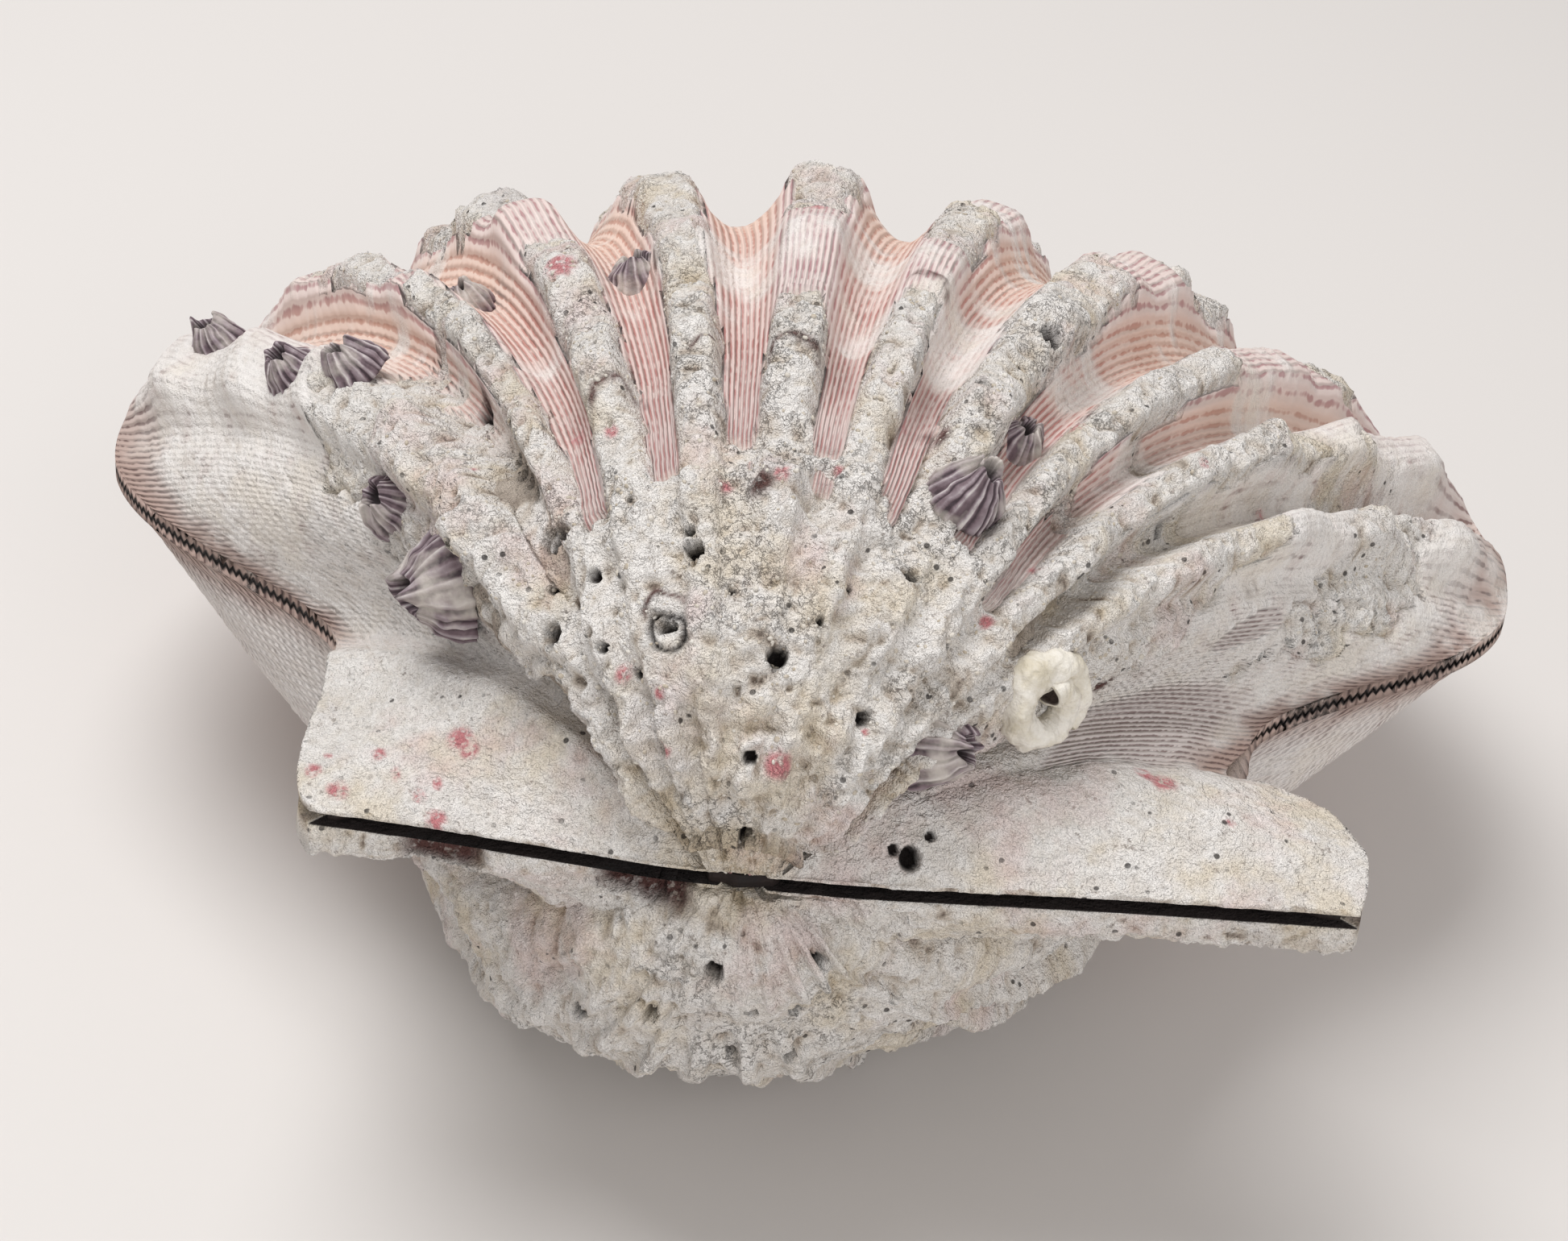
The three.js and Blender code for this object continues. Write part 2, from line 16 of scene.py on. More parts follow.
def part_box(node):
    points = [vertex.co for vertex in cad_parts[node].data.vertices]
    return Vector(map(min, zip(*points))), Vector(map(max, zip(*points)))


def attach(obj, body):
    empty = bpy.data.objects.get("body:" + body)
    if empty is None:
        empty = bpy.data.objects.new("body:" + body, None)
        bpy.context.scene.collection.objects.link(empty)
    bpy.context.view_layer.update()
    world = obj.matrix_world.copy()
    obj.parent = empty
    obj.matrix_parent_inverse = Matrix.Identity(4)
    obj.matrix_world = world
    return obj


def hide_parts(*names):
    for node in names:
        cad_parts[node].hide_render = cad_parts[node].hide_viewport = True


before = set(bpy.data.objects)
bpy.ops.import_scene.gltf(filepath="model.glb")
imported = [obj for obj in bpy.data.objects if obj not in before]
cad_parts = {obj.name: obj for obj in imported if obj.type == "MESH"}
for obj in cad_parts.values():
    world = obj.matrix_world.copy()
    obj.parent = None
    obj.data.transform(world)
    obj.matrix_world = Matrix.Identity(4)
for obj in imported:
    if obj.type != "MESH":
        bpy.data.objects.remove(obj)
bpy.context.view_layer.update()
MM = 0.001
print("nodes:", sorted(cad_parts))

# %% [markdown]
# The edge where the halves meet is drawn once as cubic arcs. Every younger edge is the same outline,
# smaller and turned about the hinge line, so two numbers name any place on a half: the distance
# along the full-grown edge, and the size of the shell when that place grew. Rib bearings, crust and
# gaps repeat the solids' own sizes, in millimetres. The path of growth is the length of skin that
# grows while the shell's size goes from 0 to 1.
#
# The real cords are 0.9 mm apart, and they end in small teeth of the edge. The cords are drawn
# 1.4 mm apart and the teeth 1.1 mm, as coarse as they need to be to show in the picture.

# %% Sizes of the shell
EDGE_ARCS = [
    [(-38, 0), (-42, 3), (-38.5, 14), (-40.5, 27)],
    [(-40.5, 27), (-44, 40), (-66, 46), (-73, 64)],
    [(-73, 64), (-83, 96), (-46, 137), (2, 137)],
    [(2, 137), (50, 137), (86, 94), (77, 60)],
    [(77, 60), (72, 45), (52, 40), (46, 27)],
    [(46, 27), (42, 20), (42, 18), (46, 17.5)],
    [(46, 17.5), (52, 16), (57, 7), (54, 0)],
]
COIL_ANGLE = 38.6
YOUNGEST = 0.012
HOLLOW_YOUNGEST = 0.05
SHELL_LENGTH = 137
GROWTH_PATH = 175
PITCH = 8
RIB_CENTRES = np.array([-43, -31.5, -21.5, -11, 0.3, 11.2, 22.2, 32.8, 41, 48])
RIB_VALLEYS = np.array([-47.5, -35, -27.3, -16, -5.7, 6.3, 16.2, 28.6, 37, 45, 51.5])
RIB_HEIGHT = 2.8
RIB_GROWTH = 0.4
KNOB_SIZES = [0.335, 0.46, 0.6, 0.74, 0.88]
KNOB_HEIGHT = 2.2
KNOB_LENGTH = 0.04
RIBS_UNDER_CRUST = 0.2
EDGE_THICKNESS = 0.9
EDGE_WAVE = 2.0
HALF_GAP = 0.2
HINGE_HALF_GAP = 0.65
OVERHANG_SIZE = 0.5
OVERHANG_CLEARANCE = 1
HOLLOW_SCALE = 0.94
HOLLOW_SHIFT = 3
HOLLOW_DROP = 2
RIBLET = 1.4
TOOTH = 1.1
TOOTH_HEIGHT = 0.3
print(len(RIB_CENTRES), "ribs, from", RIB_CENTRES[0], "to", RIB_CENTRES[-1], "degrees")

# %% [markdown]
# Blending between values, soft thresholds and repeatable lumps are needed everywhere, so they come
# first. They work on whole arrays at once, which keeps a hundred thousand points quick.


# %% Number helpers
def lerp(a, b, t):
    return a + (b - a) * t


def step(a, b, x):
    t = np.clip((x - a) / (b - a), 0, 1)
    return t * t * (3 - 2 * t)


def mound(x, width):
    return np.exp(-((x / width) ** 2))


def grid_value(i, j, k):
    v = np.sin(i * 127.1 + j * 311.7 + k * 74.7) * 43758.5453
    return 2 * (v - np.floor(v)) - 1


def lumps(points, size):
    """Smooth random values from -1 to 1 on a cubic grid of that size, in millimetres."""
    cell = points / size
    corner = np.floor(cell)
    u, v, w = np.moveaxis(step(0, 1, cell - corner), -1, 0)
    i, j, k = np.moveaxis(corner, -1, 0)
    rows = []
    for c in (0, 1):
        for b in (0, 1):
            rows.append(lerp(grid_value(i, j + b, k + c), grid_value(i + 1, j + b, k + c), u))
    return lerp(lerp(rows[0], rows[1], v), lerp(rows[2], rows[3], v), w)


def shifts(points, size, seeds):
    """Three smooth random values for each point, one for each direction."""
    return np.stack([lumps(points + seed, size) for seed in seeds], -1)


def cells(points, size):
    """Distance to the nearest of many scattered points, about one to each cube of that size."""
    cell = np.floor(points / size)
    nearest = np.full(points.shape[:-1], 9.0)
    for di in (-1, 0, 1):
        for dj in (-1, 0, 1):
            for dk in (-1, 0, 1):
                i, j, k = np.moveaxis(cell + (di, dj, dk), -1, 0)
                seed = [0.5 + 0.5 * grid_value(i + n, j + 3 * n, k - n) for n in (0.3, 7.7, 13.1)]
                centre = np.stack([i, j, k], -1) + np.stack(seed, -1)
                nearest = np.minimum(nearest, np.linalg.norm(points / size - centre, axis=-1))
    return nearest * size


# %% [markdown]
# The edge's arcs are walked in small steps once, so that any distance along the edge can be looked
# up. Its two inward corners are the notches under the ears, and they bound the ribbed middle.

# %% The edge as a table of places by their distance
ARC_STEPS = 400


def arc_points(arc):
    t = np.linspace(0, 1, ARC_STEPS)[:, None]
    a, b, c, d = (np.array(p, float) for p in arc)
    return (1 - t) ** 3 * a + 3 * (1 - t) ** 2 * t * b + 3 * (1 - t) * t * t * c + t**3 * d


arcs = [arc_points(arc) for arc in EDGE_ARCS]
edge_places = np.vstack([arcs[0]] + [arc[1:] for arc in arcs[1:]])
edge_lengths = np.r_[0, np.cumsum(np.linalg.norm(np.diff(edge_places, axis=0), axis=1))]
EDGE_LENGTH = edge_lengths[-1]
arc_ends = edge_lengths[:: ARC_STEPS - 1][1:]
LEFT_NOTCH, RIGHT_NOTCH = arc_ends[0], arc_ends[4]
print(f"the edge is {EDGE_LENGTH:.1f} mm round, with notches at {LEFT_NOTCH:.1f} and {RIGHT_NOTCH:.1f}")


def edge_xy(along):
    x = np.interp(along, edge_lengths, edge_places[:, 0])
    y = np.interp(along, edge_lengths, edge_places[:, 1])
    return x, y


def bearing(along):
    return np.degrees(np.arctan2(*edge_xy(along)))


# %% [markdown]
# A shell keeps its form while it grows, so each half is part of a coil: the edge gets smaller in
# equal shares as it turns about the hinge line. Its outward direction follows from two short steps
# over the surface. This and the next cells use the same formulas as the solids, so that the fine mesh
# and the solid lie together.


# %% The coil
def coil(half, along, size, scale=1.0):
    x, y = edge_xy(along)
    turn = -np.log(size) * math.tan(math.radians(COIL_ANGLE))
    reach = scale * size * y
    return np.stack([scale * size * x, reach * np.cos(turn), half * reach * np.sin(turn)], -1)


def coil_normal(half, along, size):
    before = np.clip(along - 0.5, 0, EDGE_LENGTH)
    after = np.clip(along + 0.5, 0, EDGE_LENGTH)
    across = coil(half, after, size) - coil(half, before, size)
    out = coil(half, along, size + 0.002) - coil(half, along, size - 0.002)
    normal = -half * np.cross(out, across)
    return normal / np.linalg.norm(normal, axis=-1, keepdims=True)


depth = coil(1, np.linspace(0, EDGE_LENGTH, 200)[:, None], np.linspace(YOUNGEST, 1, 200))[..., 2].max()
print(f"each half is {depth:.1f} mm deep")

# %% [markdown]
# Ten ribs fan out from the beak, and the scallop folded its edge to make them, so the lower half has
# a valley under each rib of the upper one. Knobs stand on the ribs where the animal paused between
# seasons of growth, and they are larger on every second rib. The ears have no ribs.


# %% Ribs, knobs and ears
def rib_profile(angle):
    """1 on the top of a rib, -1 in the valley between two ribs, 0 beyond the ribs."""
    last = len(RIB_CENTRES) - 1
    k = np.clip(np.searchsorted(RIB_VALLEYS, angle, side="right") - 1, 0, last)
    left = angle < RIB_CENTRES[k]
    half_width = np.where(left, RIB_CENTRES[k] - RIB_VALLEYS[k], RIB_VALLEYS[k + 1] - RIB_CENTRES[k])
    outermost = (left & (k == 0)) | (~left & (k == last))
    fall = step(0.2, 0.95, np.abs(angle - RIB_CENTRES[k]) / half_width)
    profile = 1 - np.where(outermost, 1, 2) * fall
    beyond = (angle <= RIB_VALLEYS[0]) | (angle >= RIB_VALLEYS[-1])
    return np.where(beyond, 0, profile)


def knobs(angle, size):
    index = np.abs(angle[..., None] - RIB_CENTRES).argmin(-1)
    strength = np.where(index % 2 == 0, 1, 0.55)
    rings = np.max([mound(size - g, KNOB_LENGTH) for g in KNOB_SIZES], axis=0)
    return KNOB_HEIGHT * strength * rings * step(0, 0.8, rib_profile(angle))


def ear_share(along):
    """1 on the ears, 0 on the ribbed middle."""
    left = 1 - step(LEFT_NOTCH - 4, LEFT_NOTCH + 8, along)
    right = step(RIGHT_NOTCH - 8, RIGHT_NOTCH + 4, along)
    return np.maximum(left, right)


def thickest(half, crust):
    """The greatest thickness of a half's crust, in millimetres."""
    along, size = np.meshgrid(np.linspace(0, EDGE_LENGTH, 200), np.linspace(YOUNGEST, 1, 100))
    return crust(coil(half, along, size), along, size, half * rib_profile(bearing(along))).max()


# %% [markdown]
# Worms, algae and barnacles laid down crust while the scallop lived. It is thickest on the beak,
# which is the oldest part, where it ends in two ledges. It also thickens the ears and the tops of the
# ribs. The lower half has thick crust on its ears, and a lump of it to the left of its beak.


# %% How thick the crust is
def inside_ledges(along, size):
    """How far inside the left and the right ledge of the beak's crust a place is, along the edge."""
    left = along - lerp(58, 112, step(0.34, 0.08, size))
    right = lerp(352, 300, step(0.34, 0.1, size)) - along
    return left, right


def shield(along, size):
    """1 under the thick crust on the beak, 0 elsewhere."""
    left, right = inside_ledges(along, size)
    return step(0, 12, left) * step(0, 12, right) * (1 - step(0.24, 0.38, size))


def upper_crust(point, along, size, profile):
    ear = ear_share(along)
    from_hinge = step(0, 7, size * edge_xy(along)[1])
    cover = shield(along, size) * (3 + 1.2 * lumps(point, 9) + 0.7 * lumps(point, 4))
    on_ribs = step(-0.2, 0.7, profile) * (0.5 + 0.7 * lumps(point, 6)) * (1 - step(0.8, 1, size))
    on_ears = ear * lerp(1.4, 2.6 + 0.5 * lumps(point, 6), from_hinge)
    left_patch = 1.6 * mound(along - 88, 26) * mound(size - 0.36, 0.1)
    right_patch = 1.2 * mound(along - 320, 30) * mound(size - 0.45, 0.12)
    return np.maximum(on_ears, cover + (1 - ear) * (on_ribs + left_patch + right_patch))


def lower_crust(point, along, size, profile):
    ear = ear_share(along)
    thick_rim = 3.6 + 0.6 * lumps(point, 7)
    beak = (1 - step(0.28, 0.55, size)) * (2 + 1.0 * lumps(point, 7))
    left_lump = 3 * mound(along - 120, 50) * mound(size - 0.24, 0.14)
    on_ribs = step(-0.2, 0.7, profile) * (0.4 + 0.6 * lumps(point, 6)) * (1 - step(0.8, 1, size))
    return np.maximum(ear * thick_rim, (1 - ear) * (beak + left_lump + on_ribs))


print(f"crust is up to {thickest(1, upper_crust):.1f} mm thick above, {thickest(-1, lower_crust):.1f} below")

# %% [markdown]
# Outside, ribs, knobs and crust stand on the coil. Inside lies a smaller coil without them, because
# the soft body kept the inside smooth. Both meet in the edge, which waves up and down with the ribs,
# so that the halves lock into each other.


# %% Outside, inside and edge of a half
def rim_point(half, along, lift):
    x, y = edge_xy(along)
    angle = bearing(along)
    wave = EDGE_WAVE * rib_profile(angle) * (1 - step(25, 50, np.abs(angle)))
    return np.stack([x, y, half * lift + wave], -1)


def half_gap_at(y):
    """Half the gap between the halves, which is wider at the hinge than round the edge."""
    return lerp(HINGE_HALF_GAP, HALF_GAP, step(3.5, 8, y))


def skin(half, along, size, fine=None):
    """The outside of a half. fine gives the height that each place has over the solids' own."""
    point = coil(half, along, size)
    normal = coil_normal(half, along, size)
    angle = bearing(along)
    profile = half * rib_profile(angle)
    ribs = RIB_HEIGHT * size**RIB_GROWTH * profile * lerp(1, RIBS_UNDER_CRUST, shield(along, size))
    crust = upper_crust if half > 0 else lower_crust
    bumps = knobs(angle, size) if half > 0 else 0.6 * np.maximum(0, profile) * lumps(point, 8)
    crust_height = crust(point, along, size, profile)
    height = (1 - ear_share(along)) * (ribs + bumps) + crust_height
    if fine is not None:
        height = height + fine(crust_height)
    raised = point + normal * height[..., None]
    clear = half * np.maximum(half * raised[..., 2], OVERHANG_CLEARANCE)
    raised[..., 2] = np.where(size < OVERHANG_SIZE, clear, raised[..., 2])
    rim = rim_point(half, along, HALF_GAP + EDGE_THICKNESS)
    reaches_rim = step(0.93, 1, size) * (1 - ear_share(along))
    return raised + (rim - raised) * reaches_rim[..., None]


def inside(half, along, size):
    """The smooth hollow of a half, kept clear of the other half."""
    point = coil(half, along, size, HOLLOW_SCALE)
    point[..., 1] += HOLLOW_SHIFT
    wave = rim_point(half, along, 0)[..., 2] * step(0.8, 1, size)
    face = half_gap_at(point[..., 1]) + half * wave
    point[..., 2] = half * np.maximum(half * point[..., 2] - HOLLOW_DROP, face)
    return point


# %% [markdown]
# The shell lies a little nose down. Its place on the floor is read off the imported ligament, whose
# middle is known in the shell's own frame, so nothing is fitted by eye.

# %% From the shell's frame to the row's
LIGAMENT = {"left": -36.5, "right": 52.5, "front": 0.5, "back": 3.2, "thickness": 0.7}
lying = np.array(Matrix.Rotation(-math.radians(PITCH), 3, "X"))
low, high = (np.array(corner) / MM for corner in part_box("hinge_ligament"))
ligament_middle = np.array(
    [(LIGAMENT["left"] + LIGAMENT["right"]) / 2, (LIGAMENT["front"] + LIGAMENT["back"]) / 2, 0]
)
beak_place = (low + high) / 2 - lying @ ligament_middle
print("the beak is at", beak_place.round(2), "mm")


def to_row(points):
    return (points @ lying.T + beak_place) * MM


# %% [markdown]
# The camera stands where the photograph was taken from. Its distance, lens and angles come from
# fitting the shell's outline and seam to the photograph, and are given as seen from the beak, since
# that spot is easy to find in any picture of the shell.

# %% Camera
IMAGE_WIDTH, IMAGE_HEIGHT = 1946, 1540
BEAK_PIXEL = (920, 1068)
FOCAL_PIXELS = 3380
CAMERA_DISTANCE = 238
CAMERA_HEIGHT_ANGLE = math.radians(28.5)
CAMERA_TURN = math.radians(1)
CAMERA_ROLL = math.radians(5.2)
SENSOR = 36.0
NEAREST_SEEN = 0.01

ahead = np.array([0, math.cos(CAMERA_HEIGHT_ANGLE), -math.sin(CAMERA_HEIGHT_ANGLE)])
above = np.array([0, math.sin(CAMERA_HEIGHT_ANGLE), math.cos(CAMERA_HEIGHT_ANGLE)])
level = np.array([1.0, 0, 0])
right = level * math.cos(CAMERA_ROLL) + above * math.sin(CAMERA_ROLL)
up = above * math.cos(CAMERA_ROLL) - level * math.sin(CAMERA_ROLL)
turn = np.array(Matrix.Rotation(CAMERA_TURN, 3, "Z"))
right, up, ahead = (turn @ axis for axis in (right, up, ahead))
beak_right = (BEAK_PIXEL[0] - IMAGE_WIDTH / 2) / FOCAL_PIXELS * CAMERA_DISTANCE
beak_up = -(BEAK_PIXEL[1] - IMAGE_HEIGHT / 2) / FOCAL_PIXELS * CAMERA_DISTANCE
eye = to_row(-(beak_right * right + beak_up * up + CAMERA_DISTANCE * ahead))
right, up, ahead = (lying @ axis for axis in (right, up, ahead))


def put_in_scene(name, data):
    thing = bpy.data.objects.new(name, data)
    bpy.context.scene.collection.objects.link(thing)
    return thing


camera = put_in_scene("camera", bpy.data.cameras.new("camera"))
camera.data.sensor_width = SENSOR
camera.data.lens = FOCAL_PIXELS / IMAGE_WIDTH * SENSOR
camera.data.clip_start = NEAREST_SEEN
camera.matrix_world = Matrix(np.vstack([np.c_[right, up, -ahead, eye], [0, 0, 0, 1]]).tolist())
bpy.context.scene.camera = camera
print("camera at", eye.round(3), "m, lens", round(camera.data.lens, 1), "mm")

# %% [markdown]
# The crust is not smooth lime. It is a jumble of blisters, grains and borings, which real crust gets
# from many small animals growing side by side. Distances to scattered points give round blisters of
# three sizes, and smooth lumps warp them so that no two are alike. The smallest real grains would
# not show, so the smallest blisters are 0.9 mm apart.


# %% Crust
def crust_texture(point):
    """Height of the crust's own relief in millimetres, and its tone, from 0 in a hollow to 1."""
    warp = point + 0.6 * shifts(point, 2.1, (5, 19, 43))
    big = np.clip(1 - (cells(warp, 3.4) / 1.9) ** 2, -1, 1)
    middle = np.clip(1 - (cells(warp + 17, 1.7) / 0.95) ** 2, -1, 1)
    small = np.clip(1 - (cells(warp + 33, 0.9) / 0.5) ** 2, -1, 1)
    flakes = 0.16 * (1 - 3 * np.abs(lumps(warp + 61, 1.15))) + 0.1 * (1 - 3 * np.abs(lumps(warp + 83, 0.6)))
    knobbly = 0.35 + 0.65 * step(-0.4, 0.5, lumps(point + 71, 7))
    pits = (1 - step(0.22, 0.42, cells(point + 91, 2.3))) * step(-0.1, 0.4, lumps(point + 7, 6))
    blisters = knobbly * (0.34 * big + 0.24 * middle + 0.14 * small - 0.3)
    height = 0.4 * lumps(point + 3, 6.5) + 0.35 * lumps(point, 3.7) + blisters + flakes - 0.7 * pits
    tone = 0.55 + 0.22 * middle + 0.14 * small + 1.1 * flakes + 0.12 * lumps(point, 3.7) - 0.5 * pits
    return height, np.clip(tone, 0, 1)


sample = crust_texture(np.random.default_rng(1).uniform(0, 100, (2000, 3)))[0]
print(f"the crust's relief goes from {sample.min():.1f} to {sample.max():.1f} mm")

# %% [markdown]
# Crust hides the beak, the tops of the ribs and a few patches. The photograph shows rib tops that
# were rubbed bare: each is a bearing, a size, and how wide and long the bare place is. A patch of
# crust is a place along the edge and its width, a size and its height, and how strongly it covers.
# Each border is made ragged by lumps of three sizes, as real crust breaks off in flakes.

# %% Where the crust lies
BARE_RIB_TOPS = [
    (0.3, 0.43, 7, 0.065), (11.2, 0.46, 4, 0.035), (-21.5, 0.62, 5, 0.07), (0.3, 0.78, 7, 0.12),
    (11.2, 0.75, 6, 0.07), (22.2, 0.66, 5, 0.05), (32.8, 0.72, 6, 0.08), (-44, 0.78, 9, 0.24),
    (48, 0.84, 5, 0.2), (41, 0.86, 5, 0.1),
]
PATCHES_OF_HALF = {
    1: [(84, 26, 0.46, 0.15, 1.6, 0.7), (320, 36, 0.4, 0.12, 1.6, 0.7), (316, 32, 0.76, 0.1, 1.5, 0.85)],
    -1: [(120, 60, 0.3, 0.25, 1.6, 0.7)],
}
NOSE_SIZE = 0.056


def coverage(half, point, along, size, profile, reach=0.0):
    """1 where crust hides the shell, 0 where the shell is bare. reach moves its borders outwards."""
    ragged = 0.5 * lumps(point, 5) + 0.35 * lumps(point, 2.2) + 0.2 * lumps(point, 1.1)
    if half > 0:
        sides = [0.8 * size * inside for inside in inside_ledges(along, size)]
        outwards = (lerp(0.245, 0.36, step(-0.4, 0.5, profile)) - size) * 16
        beak = np.minimum.reduce([*sides, outwards, (size - NOSE_SIZE) * 60])
    else:
        beak = (0.5 - size) * 8
    tops = 1.3 * (profile - 0.5) + 0.5 * mound(size - 0.33, 0.06) - 14 * np.maximum(0, size - 0.86)
    tops = tops + 0.35 * lumps(point + 31, 7)
    for angle, grown, width, length in BARE_RIB_TOPS:
        tops = tops - 2.4 * mound(bearing(along) - angle, width) * mound(size - grown, length)
    inside_by = np.maximum(beak, tops)
    for place, width, grown, length, strength, less in PATCHES_OF_HALF[half]:
        patch = strength * mound(along - place, width) * mound(size - grown, length) - less
        inside_by = np.maximum(inside_by, patch)
    return step(-0.12, 0.12, inside_by + 0.75 * ragged + reach)


# %% [markdown]
# A half is one closed skin: rings of points go over the outside and back along the inside, and are
# joined from the beak to the edge. The crust that grew over it is a second, finer layer, whose
# border dives under the shell, so that it ends in a real ledge. Both could be one mesh, but then the
# bare shell would need as many points as the crust.


# %% Mesh helpers
def stitch(row_a, places_a, row_b, places_b):
    """One strip of triangles between two rows of points, whose places along the edge are given."""
    faces = []
    a, b = 0, 0
    while a + 1 < len(row_a) or b + 1 < len(row_b):
        next_a = places_a[a + 1] if a + 1 < len(row_a) else math.inf
        next_b = places_b[b + 1] if b + 1 < len(row_b) else math.inf
        if next_a <= next_b:
            faces.append((row_a[a], row_b[b], row_a[a + 1]))
            a += 1
        else:
            faces.append((row_a[a], row_b[b], row_b[b + 1]))
            b += 1
    return faces


def grid_faces(ids):
    """Squares over a grid of point numbers."""
    return np.stack([ids[:-1, :-1], ids[:-1, 1:], ids[1:, 1:], ids[1:, :-1]], -1).reshape(-1, 4).tolist()


def make_mesh(name, points, faces, smooth=True):
    mesh = bpy.data.meshes.new(name)
    mesh.from_pydata(points.tolist(), [], faces)
    piece = put_in_scene(name, mesh)
    work = bmesh.new()
    work.from_mesh(mesh)
    bmesh.ops.recalc_face_normals(work, faces=work.faces)
    work.to_mesh(mesh)
    work.free()
    if smooth:
        mesh.shade_smooth()
    print(name, len(points), "points,", sum(len(face) - 2 for face in faces), "triangles")
    return piece


def capped_rings(rings):
    """Faces that join rings of points one after another and close both ends."""
    ids = np.arange(rings[..., 0].size).reshape(rings.shape[:2])
    return grid_faces(np.hstack([ids, ids[:, :1]])) + [tuple(ids[0][::-1]), tuple(ids[-1])]


def paint(piece, label, values):
    """Keeps one number for each point, which the materials read by its label."""
    padded = np.zeros(len(piece.data.vertices))
    padded[: values.size] = np.ravel(values)
    piece.data.attributes.new(label, "FLOAT", "POINT").data.foreach_set("value", padded)


# %% [markdown]
# Holes, pink spots of coralline algae and brown stains are listed by their place on the shell: the
# distance along the edge, the size of the shell there, and the radius in millimetres. Holes have a
# depth as well. The main ones stand where the photograph shows them, to about half a millimetre.
# Holes push the skin in along its own outward direction, and every mark is painted into the points
# for the material.

# %% Marks on the shell
HOLES = [
    (111.5, 0.26, 0.7, 3), (114, 0.26, 0.75, 3), (116.5, 0.255, 0.75, 3), (119, 0.25, 0.7, 3),
    (98, 0.215, 1.1, 3), (203, 0.145, 1, 2.5), (166, 0.195, 0.8, 2.5), (164, 0.205, 0.6, 2),
    (125, 0.21, 0.7, 1.8), (250, 0.215, 0.8, 2.5), (244, 0.34, 0.7, 2), (251, 0.435, 1.2, 2),
    (298, 0.465, 0.8, 2), (200, 0.06, 0.8, 2), (193, 0.055, 0.6, 1.5), (390, 0.265, 0.75, 2.5),
    (196, 0.1, 0.6, 1.6), (263, 0.14, 0.7, 2), (111, 0.355, 0.5, 1.8), (112, 0.34, 0.5, 1.8),
    (113, 0.32, 0.5, 1.8), (114, 0.305, 0.4, 1.5), (118, 0.35, 0.4, 1.6), (118, 0.335, 0.4, 1.6),
    (113, 0.425, 0.8, 1.4), (122, 0.17, 0.5, 1.5), (133, 0.15, 0.5, 1.5), (145, 0.235, 0.3, 1.2),
    (230, 0.19, 0.4, 1.2), (222, 0.165, 0.35, 1.2), (180, 0.175, 0.35, 1.2), (276, 0.2, 0.4, 1.4),
    (104, 0.24, 0.4, 1.4), (88, 0.33, 0.45, 1.2), (318, 0.33, 0.4, 1.2), (387, 0.24, 0.4, 1.2),
    (386, 0.3, 0.35, 1),
]
LOWER_HOLES = [
    (177, 0.065, 0.7, 2), (290, 0.08, 0.5, 1.5), (253, 0.105, 0.6, 1.5), (140, 0.11, 0.5, 1.5),
    (216, 0.09, 0.45, 1.5), (110, 0.16, 0.6, 1.5), (200, 0.13, 0.4, 1.2), (235, 0.14, 0.5, 1.2),
]
PINK_SPOTS = [
    (3, 0.91, 1.2), (5, 0.965, 0.8), (8, 0.815, 0.7), (6, 0.775, 0.6), (4, 0.72, 0.6), (6, 0.68, 0.5),
    (14, 0.635, 1.5), (12, 0.61, 1), (1, 0.69, 0.9), (7, 0.93, 0.5), (126, 0.155, 0.9), (139, 0.11, 0.7),
    (216, 0.1, 1.4), (144, 0.135, 0.6), (267, 0.135, 0.5), (285, 0.24, 0.8), (143, 0.29, 0.8),
    (131, 0.32, 0.9), (178, 0.23, 0.8), (196, 0.23, 0.7), (214, 0.245, 0.6), (229, 0.295, 0.8),
    (144, 0.445, 1.8), (103, 0.36, 0.5), (286, 0.295, 0.5), (291, 0.475, 0.7), (381, 0.74, 1.4),
    (379, 0.725, 1), (388, 0.79, 0.6), (250, 0.64, 1.2), (195, 0.5, 1.2), (300, 0.62, 0.8), (268, 0.4, 0.7),
    (120, 0.6, 0.9), (165, 0.72, 1),
]
STAINS = [
    (189, 0.225, 1.8), (115, 0.425, 1.8), (340, 0.48, 1.4), (240, 0.3, 1.5),
]
CRESCENTS = [
    (195, 0.305, 2.4), (146, 0.305, 2.2), (173, 0.32, 1.6), (223, 0.42, 2), (153, 0.17, 1.7),
]
LIDDED_TUBE = (152, 0.16, 1.6)


def marks_on(points, along, size, marks):
    """Yields each mark of this mesh, and how many of its radii away each point is, a little uneven."""
    wobble = 0.2 * lumps(points, 1.3)
    for mark in marks:
        if along.min() <= mark[0] <= along.max() and size.min() <= mark[1] <= size.max():
            off = ((along - mark[0]) * mark[1]) ** 2 + (GROWTH_PATH * (size - mark[1])) ** 2
            there = points[np.unravel_index(np.argmin(off), off.shape)]
            yield mark, np.linalg.norm(points - there, axis=-1) / mark[2] + wobble


